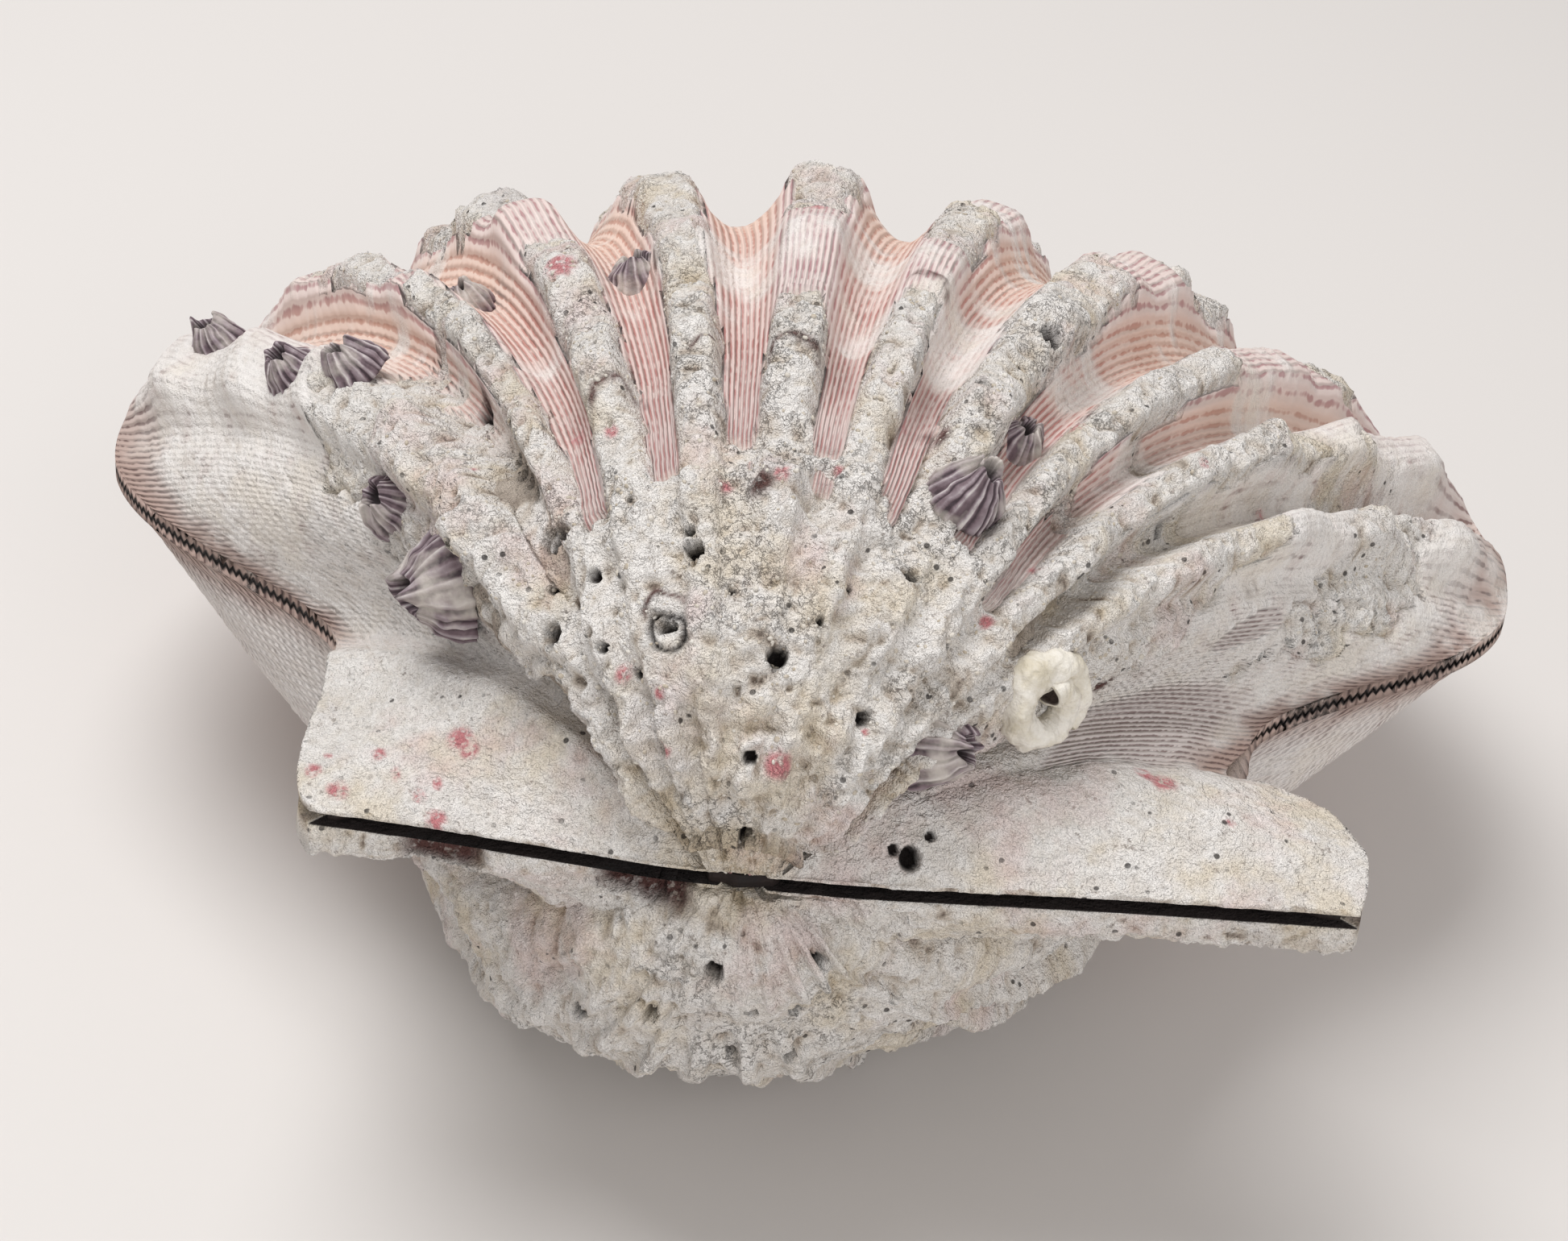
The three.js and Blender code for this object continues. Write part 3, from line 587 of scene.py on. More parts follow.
def bore_and_paint(half, points, along, size, wider=1.0):
    """Sinks the holes, and returns the painted values of each point."""
    normal = coil_normal(half, along, size)
    dark, pink, stain, sunk = (np.zeros(along.shape) for _ in range(4))
    for mark, apart in marks_on(points, along, size, HOLES if half > 0 else LOWER_HOLES):
        sunk = np.maximum(sunk, mark[3] * (1 - step(0.7, 1.1, apart / wider)))
        # Painted shade: each hole is painted dark inside, where no light reaches.
        dark = np.maximum(dark, 1 - step(0.8, 1.08, apart / wider))
    if half > 0:
        for _, apart in marks_on(points, along, size, PINK_SPOTS):
            pink = np.maximum(pink, 1 - step(0.5, 1.15, apart))
        for _, apart in marks_on(points, along, size, STAINS):
            stain = np.maximum(stain, 1 - step(0.5, 1.1, apart))
        for mark, apart in marks_on(points, along, size, CRESCENTS):
            stain = np.maximum(stain, mound(apart - 1, 0.17) * step(-0.004, 0.006, size - mark[1]))
        for mark, apart in marks_on(points, along, size, [LIDDED_TUBE]):
            behind_lid = (1 - step(0.5, 0.75, apart)) * step(-0.001, 0.002, size - mark[1])
            # Painted shade: the groove round the lid and the hollow behind it are painted dark.
            dark = np.maximum.reduce([dark, mound(apart - 1, 0.16), behind_lid])
            sunk = np.maximum(sunk, 0.5 * mound(apart - 1, 0.2) + 2.5 * behind_lid)
    return points - normal * sunk[..., None], {"hole": dark, "pink": pink, "stain": stain}


print(len(HOLES) + len(LOWER_HOLES), "holes,", len(PINK_SPOTS), "pink spots")

# %% [markdown]
# Every point also carries what its part of the shell is like: how far to the side it lies, how near
# to the edge, and how much chalky film covers it. The film is thick on the flanks, apart from two
# windows on the right where the photograph shows the dashes through it.

# %% Values that the shell's material reads
FILM_WINDOWS = [(364, 18, 0.74, 0.22, 0.3, 0.15), (329, 8, 0.63, 0.05, 0.4, 0.25)]


def shell_values(half, point, along, size, profile):
    angle = np.abs(bearing(along))
    flank = step(34, 47, angle)
    margin = step(lerp(0.87, 0.76, step(55, 75, angle)), 0.97, size) * step(38, 50, angle)
    patchy = 0.6 * lumps(point, 9) + 0.4 * lumps(point, 3.5) + 0.25 * lumps(point, 1.6)
    film = flank * (1.4 + 0.4 * patchy) * (1 - step(0.86, 0.96, size + 0.06 * patchy))
    for place, width, grown, length, low, uneven in FILM_WINDOWS:
        window = mound(along - place, width) * mound(size - grown, length)
        film = film * (1 - 0.95 * step(low, 0.6, window + uneven * patchy))
    film = np.maximum(film, 0.8 * step(0.05, 0.5, patchy - 0.1 + 0.4 * mound(size - 0.45, 0.06)))
    if half < 0:
        film = film * 0.45
    return {
        "top": step(-0.1, 0.5, profile),
        "along": along,
        "grown": size * SHELL_LENGTH,
        "flank": flank,
        "margin": margin,
        "film": np.clip(film, 0, 0.92),
    }


# %% [markdown]
# A shell grows at its edge, so its skin is made in rows of one size each, closer together at the
# beak, and in columns that run from the beak to the edge. The lower half's rim is broken in two
# places under the hinge, and the breaks are painted dark brown, in the stains' colour.

# %% Rows, columns and the broken rim
ROWS, BODY_COLUMNS, INNER_COLUMNS = 190, 262, 50
EAR_COLUMN = 0.55


def half_columns():
    left_ear = np.arange(0, LEFT_NOTCH - 0.3, EAR_COLUMN)
    right_ear = np.arange(EDGE_LENGTH, RIGHT_NOTCH + 0.3, -EAR_COLUMN)[::-1]
    return np.r_[left_ear, np.linspace(LEFT_NOTCH, RIGHT_NOTCH, BODY_COLUMNS), right_ear]


def sizes_between(youngest, oldest, rows, crowding=1.45):
    """Sizes of the shell for the rows, closer together near the beak."""
    return youngest + (oldest - youngest) * np.linspace(0, 1, rows) ** crowding


def broken_rim(points):
    """Pulls the lower half's rim back where it is broken, and says where that is."""
    x, y, z = np.moveaxis(points, -1, 0)
    left = step(-31, -28.5, x) * (1 - step(-24, -21.5, x))
    middle = step(-13.5, -11, x) * (1 - step(-5, -3, x))
    share = np.maximum(left, middle) * (1 - step(2.5, 5, y)) * step(-3.6, -2.4, z)
    moved = points.copy()
    moved[..., 1] += share * (1.6 + 0.6 * lumps(points, 2))
    moved[..., 2] -= share * 0.5 * np.abs(lumps(points + 9, 1.4))
    return moved, share


print(ROWS, "rows of", len(half_columns()), "columns for each half")

# %% [markdown]
# The black line across the picture is the gap between the two thick, crusted lips of the hinge. Both
# lips are brought forward to one line, so that the gap is seen straight on and has one width. Each
# lip's front is a low wall with the crust's own relief.

# %% Lips of the hinge
WALL_ROWS = 9
LIP = 3.2
LIP_REACH = 2.6
LIP_CLEARANCE, LIP_SLOPE = 0.9, 0.6


def lip_front(size):
    """How far forward of the hinge line the crusted lips reach, which is further by the beak."""
    turn = np.minimum(-np.log(size) * math.tan(math.radians(COIL_ANGLE)), math.pi / 2)
    return -LIP * np.sin(turn) * step(0.012, 0.05, size)


def pull_lips(outer, along, size):
    """Brings the ears forward at the hinge, so that both lips of the gap lie one above the other."""
    moved = outer.copy()
    from_hinge = mound(size * edge_xy(along)[1], LIP_REACH)
    left = along < EDGE_LENGTH / 2
    for side, column in ((left, 0), (~left, -1)):
        shift = lip_front(size[:, column]) - outer[:, column, 1]
        moved[..., 1] += np.where(side, from_hinge * shift[:, None], 0)
    return moved


def clear_of_gap(points):
    """Lifts what overhangs the hinge gap, further the more it overhangs."""
    lifted = points.copy()
    overhang = np.maximum(0, -LIP - points[..., 1])
    lowest = np.where(overhang > 0, LIP_CLEARANCE + LIP_SLOPE * overhang, -99)
    lifted[..., 2] = np.maximum(points[..., 2], lowest)
    return lifted


def hinge_line(half, sizes, end):
    """The foot of a lip at each size, for the left end of the hinge, 0, or the right end, -1."""
    return np.stack([sizes * edge_places[end, 0], lip_front(sizes), 0 * sizes + half * HINGE_HALF_GAP], -1)


def add_hinge_walls(half, outer, values, sizes):
    """Adds points between the hinge line and the first and last columns, with the crust's relief."""
    share = np.linspace(0, 1, WALL_ROWS + 2)[1:-1]
    bulge = np.sin(math.pi * share) ** 0.5
    walls = []
    for end in (0, -1):
        wall = lerp(hinge_line(half, sizes, end)[:, None], outer[:, end][:, None], share[:, None])
        wall[..., 1] -= bulge * (0.3 + 0.45 * crust_texture(wall)[0])
        walls.append(wall if end == 0 else wall[:, ::-1])
    more = ((0, 0), (WALL_ROWS, WALL_ROWS))
    wide = {label: np.pad(value, more, "edge") for label, value in values.items()}
    for wall, place in zip(walls, (slice(0, WALL_ROWS), slice(-WALL_ROWS, None))):
        wide["high"][:, place] = crust_texture(wall)[1]
    return np.hstack([walls[0], outer, walls[1]]), wide


# %% [markdown]
# The outside of a half has growth lines, which real shells show where growth stopped and went on,
# about 1.5 mm apart. Where crust will lie, the shell is sunk to make room for it, and each hole in
# the shell is a little wider than the hole in the crust above it. The ears are crust all over, so
# they get its relief directly. Beside the thick crust on the beak, the crevice under its ledge is
# painted dark as painted shade, because light does not reach under the ledge.

# %% Outside of a half
GROWTH_LINE = 0.011
UNDER_CRUST, UNDER_NOSE = 1.5, 2.2
HOLE_WIDENING = 1.35


def half_skin(half, along, size):
    """The outside of a half with all its relief, and what is painted on its points."""
    point = coil(half, along, size)
    profile = half * rib_profile(bearing(along))
    ear = ear_share(along)
    cover = coverage(half, point, along, size, profile) * (1 - ear)
    texture, tone = crust_texture(point)
    beside = (1 - step(0.36, 0.46, size)) * np.maximum(1 - step(112, 132, along), step(285, 300, along))
    under_nose = (1 - ear) * (1 - step(NOSE_SIZE - 0.008, NOSE_SIZE, size))
    values = shell_values(half, point, along, size, profile)
    powder = values["film"] * values["flank"] * (1 - cover)

    def fine(crust_height):
        growth_lines = 0.1 * np.sin(size * 2 * math.pi / GROWTH_LINE + 2 * lumps(point, 6))
        bare = (1 - cover) * (1 - ear) * (1 - beside) * growth_lines
        if half > 0:
            relief = 0.35 * np.maximum.reduce([ear, beside * (1 - cover), powder]) * texture
            return bare - UNDER_CRUST * cover - UNDER_NOSE * under_nose + relief
        pleats = RIB_HEIGHT * size**RIB_GROWTH * profile * (1 - ear) * (1 - step(0.06, 0.3, size))
        pleats = pleats * lerp(1, RIBS_UNDER_CRUST, shield(along, size))
        return bare - pleats + np.maximum(ear, cover) * texture

    outer, painted = bore_and_paint(half, skin(half, along, size, fine), along, size, HOLE_WIDENING)
    values.update(painted)
    bare_root = (1 - step(371, 383, along)) * step(0.5, 0.6, size) * (along > 300)
    values["crust"] = np.maximum.reduce([ear * (1 - bare_root), cover, beside, 1 - step(0.1, 0.14, size)])
    values["high"] = lerp(tone, 0.75, 0.5 * ear)
    outer = pull_lips(outer, along, size)
    if half > 0:
        # Painted shade: the crevice beside the beak's crust is painted dark in the tone.
        ledge_shade = coverage(half, point, along, size, profile, 0.6) * (1 - step(0.34, 0.42, size))
        values["high"] = lerp(values["high"], 0.02, 0.8 * ledge_shade * (1 - cover) * (1 - ear))
        outer = clear_of_gap(outer)
    return outer, values


# %% [markdown]
# A half is then closed: outside, lips, edge and inside. The edge has a row of small teeth where the
# cords end, which give the seam between the halves its zigzag. The edge is painted brown, like
# the margin beside it. The gap itself, along the teeth, at the hinge and in the hollow near it, is
# given painted shade, dark, since no light comes back out of it.

# %% The two halves
INSIDE_VALUES = {"crust": 1, "high": 0.7}
DARK_GAP_DEPTH = 6


def edge_corners(half):
    """Places of the edge's corners along the edge, and the corners themselves."""
    stops = half_columns()
    body = np.arange(LEFT_NOTCH, RIGHT_NOTCH, TOOTH / 2)
    teeth = np.r_[stops[stops < LEFT_NOTCH][1:], body, stops[stops > RIGHT_NOTCH][:-1]]
    corners = rim_point(half, teeth, half_gap_at(edge_xy(teeth)[1]))
    zigzag = np.where(np.arange(len(teeth)) % 2 == 0, TOOTH_HEIGHT, -TOOTH_HEIGHT) * (1 - ear_share(teeth))
    corners[:, 2] += zigzag * step(8, 14, corners[:, 1])
    return teeth, corners


def make_half(name, half):
    sizes = sizes_between(YOUNGEST, 1, ROWS)
    outer, values = half_skin(half, *np.meshgrid(half_columns(), sizes))
    outer, values = add_hinge_walls(half, outer, values, sizes)
    if half < 0:
        outer, broken = broken_rim(outer)
        values["stain"] = np.maximum(values["stain"], broken)
    columns = np.r_[np.zeros(WALL_ROWS), half_columns(), np.full(WALL_ROWS, EDGE_LENGTH)]
    inner_columns = np.linspace(0, EDGE_LENGTH, INNER_COLUMNS)
    inner = inside(half, *np.meshgrid(inner_columns, np.maximum(sizes, HOLLOW_YOUNGEST)))
    hinge = np.stack([hinge_line(half, sizes, end) for end in (0, -1)], 1)
    teeth, corners = edge_corners(half)
    points = np.concatenate([part.reshape(-1, 3) for part in (outer, inner, hinge, corners)])

    width = len(columns)
    outer_ids = np.arange(ROWS * width).reshape(ROWS, width)
    inner_ids = outer_ids.size + np.arange(ROWS * INNER_COLUMNS).reshape(ROWS, INNER_COLUMNS)
    hinge_ids = outer_ids.size + inner_ids.size + np.arange(ROWS * 2).reshape(ROWS, 2)
    corner_ids = hinge_ids[-1, 1] + 1 + np.arange(len(teeth))
    rings = np.hstack([outer_ids, hinge_ids[:, 1:], inner_ids[:, ::-1], hinge_ids[:, :1], outer_ids[:, :1]])
    faces = grid_faces(rings)
    lower_edge = np.r_[hinge_ids[-1, 0], corner_ids, hinge_ids[-1, 1]]
    edge_stops = np.r_[0, teeth, EDGE_LENGTH]
    faces += stitch(lower_edge, edge_stops, outer_ids[-1], columns)
    faces += stitch(inner_ids[-1], inner_columns, lower_edge, edge_stops)
    beak_row = np.r_[hinge_ids[0, 0], outer_ids[0], hinge_ids[0, 1]]
    faces += stitch(beak_row, np.r_[-1, columns, EDGE_LENGTH + 1], inner_ids[0], inner_columns)
    row_points = to_row(points)
    row_points[:, 2] = np.maximum(row_points[:, 2], 0)
    piece = make_mesh(name, row_points, faces)

    on_ear = ear_share(teeth)
    at_rim = {"along": teeth, "grown": SHELL_LENGTH, "flank": 1, "margin": 1, "crust": on_ear}
    for label, value in values.items():
        everywhere = np.full(len(points), float(INSIDE_VALUES.get(label, 0)))
        everywhere[: value.size] = value.ravel()
        everywhere[corner_ids] = at_rim.get(label, 0)
        paint(piece, label, everywhere)
    # Painted shade: the teeth, the hinge line and the hollow near the hinge are painted as the dark gap.
    gap_shade = np.zeros(len(points))
    gap_shade[corner_ids] = 1 - on_ear
    gap_shade[hinge_ids] = 1
    gap_shade[inner_ids[inner[..., 1] < DARK_GAP_DEPTH]] = 1
    paint(piece, "gap_shade", gap_shade)
    return piece


upper_valve = make_half("upper_valve_fine", 1)
lower_valve = make_half("lower_valve_fine", -1)

# %% [markdown]
# Crust is a closed layer over the upper half. Its border dives under the shell's skin, and on the
# beak it is at least 2.1 mm thick, so that it ends in the steep ledge of the photograph. Its
# underside is hidden, so it has an eighth of the points each way.

# %% Crust on the beak and on the ribs
LEDGE = 2.1
COARSE = 8
CRUST_DEPTH = 3.5
BORDER_POINTS = 6


def every_few(count):
    return np.unique(np.r_[np.arange(0, count, COARSE), count - 1])


def make_crust(name, along_stops, size_stops):
    """A closed layer of crust on the upper half."""
    along, size = np.meshgrid(along_stops, size_stops)
    point = coil(1, along, size)
    profile = rib_profile(bearing(along))
    every_row, every_place = np.arange(len(size_stops)), np.arange(len(along_stops))
    from_border = np.minimum(every_row[::-1, None], np.minimum(every_place, every_place[::-1]))
    if size_stops[0] > 0.1:
        from_border = np.minimum(from_border, every_row[:, None])
    border = step(0, BORDER_POINTS, from_border)
    cover = coverage(1, point, along, size, profile) * border * (1 - ear_share(along))
    texture, tone = crust_texture(point)
    thinner = 0.8 * (1 - step(NOSE_SIZE, 0.09, size))
    on_shield = step(0.05, 0.1, size) * (1 - step(0.3, 0.4, size))

    def fine(crust_height):
        ledge = on_shield * np.maximum(0, LEDGE - crust_height)
        return lerp(-1.2, texture + ledge - thinner, cover)

    top = skin(1, along, size, fine)
    sideways = shifts(point, 1.3, (3, 23, 51))
    top = clear_of_gap(top + 0.22 * sideways * cover[..., None])
    top, painted = bore_and_paint(1, top, along, size)

    rows, places = every_few(len(size_stops)), every_few(len(along_stops))
    pick = np.ix_(rows, places)
    under = skin(1, along[pick], size[pick], lambda crust_height: 0 * crust_height - CRUST_DEPTH)
    under[..., 2] = np.maximum(under[..., 2], np.minimum(OVERHANG_CLEARANCE, top[pick][..., 2] - 0.1))
    points = np.concatenate([top.reshape(-1, 3), under.reshape(-1, 3)])
    top_ids = np.arange(top[..., 0].size).reshape(along.shape)
    under_ids = top_ids.size + np.arange(rows.size * places.size).reshape(rows.size, places.size)
    faces = grid_faces(top_ids) + grid_faces(under_ids[:, ::-1])
    faces += stitch(under_ids[0], places, top_ids[0], every_place)
    faces += stitch(top_ids[-1], every_place, under_ids[-1], places)
    faces += stitch(top_ids[:, 0], every_row, under_ids[:, 0], rows)
    faces += stitch(under_ids[:, -1], rows, top_ids[:, -1], every_row)
    piece = make_mesh(name, to_row(points), faces)
    own = {"crust": 0 * along + 1, "high": tone, "gap_shade": 0 * along}
    for label, value in {**shell_values(1, point, along, size, profile), **painted, **own}.items():
        paint(piece, label, value)
    return piece


beak_crust = make_crust("beak_crust", np.arange(24, 371, 0.92), sizes_between(0.015, 0.42, 225, 1.2))
rib_crust = make_crust("rib_crust", np.arange(38, 363, 0.76), sizes_between(0.37, 0.99, 212, 1))

# %% [markdown]
# Ten barnacles stand on the upper half, each turned to the skin's own outward direction there, with
# a lean where the photograph shows one. The table gives for each the distance along the edge, the
# size of the shell there, then the radius of foot and mouth and the height in millimetres, and how
# far it leans in degrees.

# %% Standing on the shell
BARNACLES = [
    (64.5, 0.44, 5.2, 1.9, 4.2, 20), (80, 0.49, 3.2, 1.2, 2.4, 0), (95, 0.655, 2.9, 1.1, 2.6, 0),
    (100.5, 0.565, 3.0, 1.1, 2.6, 10), (99, 0.83, 3.0, 1.1, 3.2, 0), (127, 0.575, 2.6, 0.9, 2.0, 0),
    (159, 0.485, 3.4, 1.2, 2.4, 0), (255, 0.275, 3.3, 1.1, 3.4, 15), (318, 0.2, 3.6, 1.2, 4.0, 25),
    (259, 0.37, 3.0, 0.9, 2.0, 0),
]


def stood_on_skin(points, along, size, lean=0):
    """Points round a foot at 0, 0, 0 and along z, moved on to the upper half."""
    along, size = np.array([float(along)]), np.array([float(size)])
    normal = Vector(coil_normal(1, along, size)[0])
    away = Vector(coil(1, along, size + 0.01)[0] - coil(1, along, size)[0]).normalized()
    upright = Matrix.Rotation(-math.radians(lean), 3, away.cross(normal).normalized()) @ normal
    turned = np.array(Vector((0, 0, 1)).rotation_difference(upright).to_matrix())
    return points @ turned.T + skin(1, along, size)[0]


# %% [markdown]
# A barnacle is a cone of six plates with sharp ridges, and a mouth sunk in the middle. Each is a
# lathe shape whose radius changes round the cone, which gives the ridges, and whose rim is uneven,
# because dead barnacles break there. Real plates could be made one by one, but at this size their
# joints do not show.

# %% Barnacles
RIDGES, SHALLOW_RIDGES, PLATES = 20, 33, 6


def barnacle(number, along, size, foot, mouth, height, lean):
    outline = np.array([
        (1.04 * foot, -1.4), (foot, 0), (0.87 * foot, 0.3 * height), (0.72 * foot, 0.62 * height),
        (1.25 * mouth, height), (1.05 * mouth, 0.97 * height), (0.9 * mouth, 0.6 * height),
        (0.5 * mouth, 0.36 * height), (0.02, 0.34 * height),
    ])
    stops = np.linspace(0, len(outline) - 1, 34)
    radius = np.interp(stops, np.arange(len(outline)), outline[:, 0])[:, None]
    level = np.interp(stops, np.arange(len(outline)), outline[:, 1])[:, None]
    turn = np.linspace(0, 2 * math.pi, 96, endpoint=False)[None, :]
    outside = step(5.2, 3.8, stops)[:, None]
    circle = np.stack([np.cos(turn), np.sin(turn), 0 * turn], -1)
    uneven = lumps(circle * 1.4 + number * 7.3, 1)
    ridges = np.sin(RIDGES * turn + 2.5 * uneven) * 0.6 + 0.4 * np.sin(SHALLOW_RIDGES * turn + 4 * uneven)
    plates = np.abs(np.sin(PLATES / 2 * turn + number))
    reach = radius * (1 + outside * (0.05 * ridges + 0.12 * plates - 0.07) + 0.13 * uneven)
    tall = level + step(0.2, 1, level / height) * height * 0.3 * lumps(circle * 2.3 + number, 1)
    points = np.stack([reach * np.cos(turn), reach * np.sin(turn), tall + 0 * turn], -1)
    points += 0.2 * shifts(points, 1.1, (2, 13, 37))
    placed = stood_on_skin(points.reshape(-1, 3), along, size, lean)
    piece = make_mesh(f"barnacle_{number}_fine", to_row(placed), capped_rings(points))
    paint(piece, "ridge", ridges + 0 * radius)
    # Painted shade: the sunk mouth is marked, to be painted near black.
    paint(piece, "mouth", step(5.0, 6.2, stops)[:, None] + 0 * turn)
    return piece


barnacles = [barnacle(i + 1, *sizes) for i, sizes in enumerate(BARNACLES)]
print(len(barnacles), "barnacles")

# %% [markdown]
# A sea worm builds its tube of lime while it turns in circles on the crust. Rings of points are
# swept along its spiral. The open end goes back in on itself, so the tube has a real wall and the
# mesh stays closed.


# %% Worm tube
WORM_TUBE_PLACE = (323, 0.305)
WORM_TURNS = 1.42
COIL_REACH = (3.9, 1.5)
TUBE_RADIUS = (1.85, 1.25)


def worm_tube():
    t = np.r_[np.linspace(0, 1, 150), np.full(3, 1.0), 0.985, 0.97, 0.955]
    share = np.r_[np.ones(150), 0.92, 0.8, 0.7, 0.66, 0.63, 0.6]
    angle = t * WORM_TURNS * 2 * math.pi
    reach = lerp(*COIL_REACH, t**1.3)
    path = np.stack([reach * np.cos(angle), reach * np.sin(angle), 0.6 * (1 + t) + 0.7 * t], -1)
    thick = lerp(*TUBE_RADIUS, t) * share * lerp(0.7, 1, step(0, 0.08, t))
    heading = np.stack([-np.sin(angle), np.cos(angle), 0 * angle + 0.12], -1)
    heading /= np.linalg.norm(heading, axis=1, keepdims=True)
    outwards = np.stack([np.cos(angle), np.sin(angle), 0 * angle], -1)
    upright = np.cross(heading, outwards)
    turn = np.linspace(0, 2 * math.pi, 40, endpoint=False)
    ripple = 1 + 0.03 * np.sin(t * 190)[:, None]
    ring = np.cos(turn)[None, :, None] * outwards[:, None] + np.sin(turn)[None, :, None] * upright[:, None]
    points = path[:, None] + ring * (thick[:, None] * ripple)[..., None]
    points += 0.42 * shifts(points, 2.3, (4, 17, 29))
    points += 0.22 * shifts(points, 0.9, (6, 21, 33))
    placed = stood_on_skin(points.reshape(-1, 3), *WORM_TUBE_PLACE)
    piece = make_mesh("worm_tube_fine", to_row(placed), capped_rings(points))
    # Painted shade: the turned-in open end is marked, to be painted dark.
    paint(piece, "mouth", step(0.78, 0.68, share)[:, None] + 0 * turn)
    return piece


tube = worm_tube()
print("the tube lies", WORM_TUBE_PLACE[0], "mm along the edge and coils", WORM_TURNS, "times")


# %% [markdown]
# The ligament is a band of horn in the gap of the hinge, which dried and shrank. Its front edge is
# uneven, and at the beak it stands further forward, where the two beaks once pressed on it.

# %% Ligament, with an uneven front
def make_ligament():
    x = np.linspace(LIGAMENT["left"], LIGAMENT["right"], 240)
    by_beak = 1 - step(2.6, 4.6, np.abs(x - 0.3))
    half_thick = LIGAMENT["thickness"] / 2 + 0.28 * by_beak
    wander = 0.3 * lumps(np.stack([x, 0 * x, 0 * x], -1), 1.5) + 0.2 * lumps(np.stack([x, x, x], -1), 4)
    front, back = LIGAMENT["front"] + 0.2 + wander - 3.6 * by_beak, 0 * x + LIGAMENT["back"]
    corners = [(front + 0.15, -half_thick), (front, 0), (front + 0.15, half_thick), (back, half_thick),
               (back, -half_thick)]
    points = np.stack([np.stack([x, y, 0 * x + z], -1) for y, z in corners], 1)
    placed = to_row(points.reshape(-1, 3))
    return make_mesh("hinge_ligament_fine", placed, capped_rings(points), smooth=False)


ligament = make_ligament()

# %% [markdown]
# Colours are given as the hex values that a paint chart would use, and one function turns them to
# the linear numbers that shaders work with. One small function adds a node with its settings and its
# links, so that a node tree reads as a list of steps. Noise takes its scale from the size that its
# lumps have on the real shell, in millimetres.

# %% Colour and node helpers
ATTRIBUTE, NOISE, MATH, RANGE, MIX, RAMP = (
    f"ShaderNode{kind}" for kind in ("Attribute", "TexNoise", "Math", "MapRange", "Mix", "ValToRGB")
)
SMOOTH = {"interpolation_type": "SMOOTHSTEP"}
COLOURS = {"data_type": "RGBA", "output": 2}


def linear(code):
    channels = [int(code[i : i + 2], 16) / 255 for i in (1, 3, 5)]
    return [c / 12.92 if c <= 0.04045 else ((c + 0.055) / 1.055) ** 2.4 for c in channels] + [1.0]


def add(tree, kind, inputs=None, output=0, **settings):
    """Adds one node and returns an output. inputs maps a socket to a value or to another output."""
    node = tree.nodes.new(kind)
    for name, value in settings.items():
        setattr(node, name, value)
    for key, value in (inputs or {}).items():
        socket = node.inputs[key]
        if isinstance(value, bpy.types.NodeSocket):
            tree.links.new(value, socket)
        else:
            socket.default_value = value
    return node.outputs[output] if len(node.outputs) else None


def lumps_of(size):
    """The scale of a noise whose lumps are about this many millimetres across."""
    return 1 / (size * MM)


def clouds(tree, place, size, low, high, share=1.0, detail=2, roughness=0.5):
    """Soft patches about this many millimetres across, from 0 outside to a share inside."""
    cloud = add(tree, NOISE, {
        "Vector": place, "Scale": lumps_of(size), "Detail": detail, "Roughness": roughness})
    edges = {"Value": cloud, "From Min": low, "From Max": high, "To Max": share}
    return add(tree, RANGE, edges, **SMOOTH)


def new_material(name):
    material = bpy.data.materials.new(name)
    material.use_nodes = True
    material.node_tree.nodes.clear()
    return material, material.node_tree


def set_stops(ramp, stops):
    """Gives a colour ramp its stops, as pairs of place and hex colour."""
    elements = ramp.node.color_ramp.elements
    while len(elements) < len(stops):
        elements.new(0.5)
    for element, (place, code) in zip(elements, stops):
        element.position, element.color = place, linear(code)
    return ramp


def give_surface(tree, colour, roughness, height, depth, strength=1.0):
    """Ends a material: its colour, its roughness and its fine relief, this deep in millimetres."""
    bump = {"Height": height, "Distance": depth * MM, "Strength": strength}
    surface = add(tree, "ShaderNodeBsdfPrincipled", {
        "Base Color": colour, "Roughness": roughness, "IOR": 1.5,
        "Normal": add(tree, "ShaderNodeBump", bump)})
    add(tree, "ShaderNodeOutputMaterial", {"Surface": surface})


# %% [markdown]
# The shell's own finish is lime that grew in layers: matte, with fine cords in pairs of pale ridge
# and coloured groove. A sine wave along the edge gives the cords, at the real spacing. The colour
# lies in dashes along the grooves, brick red in the middle and dark brown towards the sides, and
# stretched noise breaks the lines into dashes of a few millimetres. A picture could be painted
# instead, but a formula stays sharp at any distance and follows the shell's own growth.

# %% Bare shell: dashes in the grooves, by region
DASH_LENGTH = 1.4
DASH_BAND = 4.5


def cord_wave(tree, place, read):
    """A wave with one crest to each groove between the cords."""
    wobble = add(tree, NOISE, {"Vector": place, "Scale": lumps_of(7.7), "Detail": 2})
    cords = add(tree, MATH, {0: read["along"], 1: 2 * math.pi / RIBLET}, operation="MULTIPLY")
    phase = add(tree, MATH, {0: wobble, 1: 2.2, 2: cords}, operation="MULTIPLY_ADD")
    return add(tree, MATH, {0: phase}, operation="SINE")


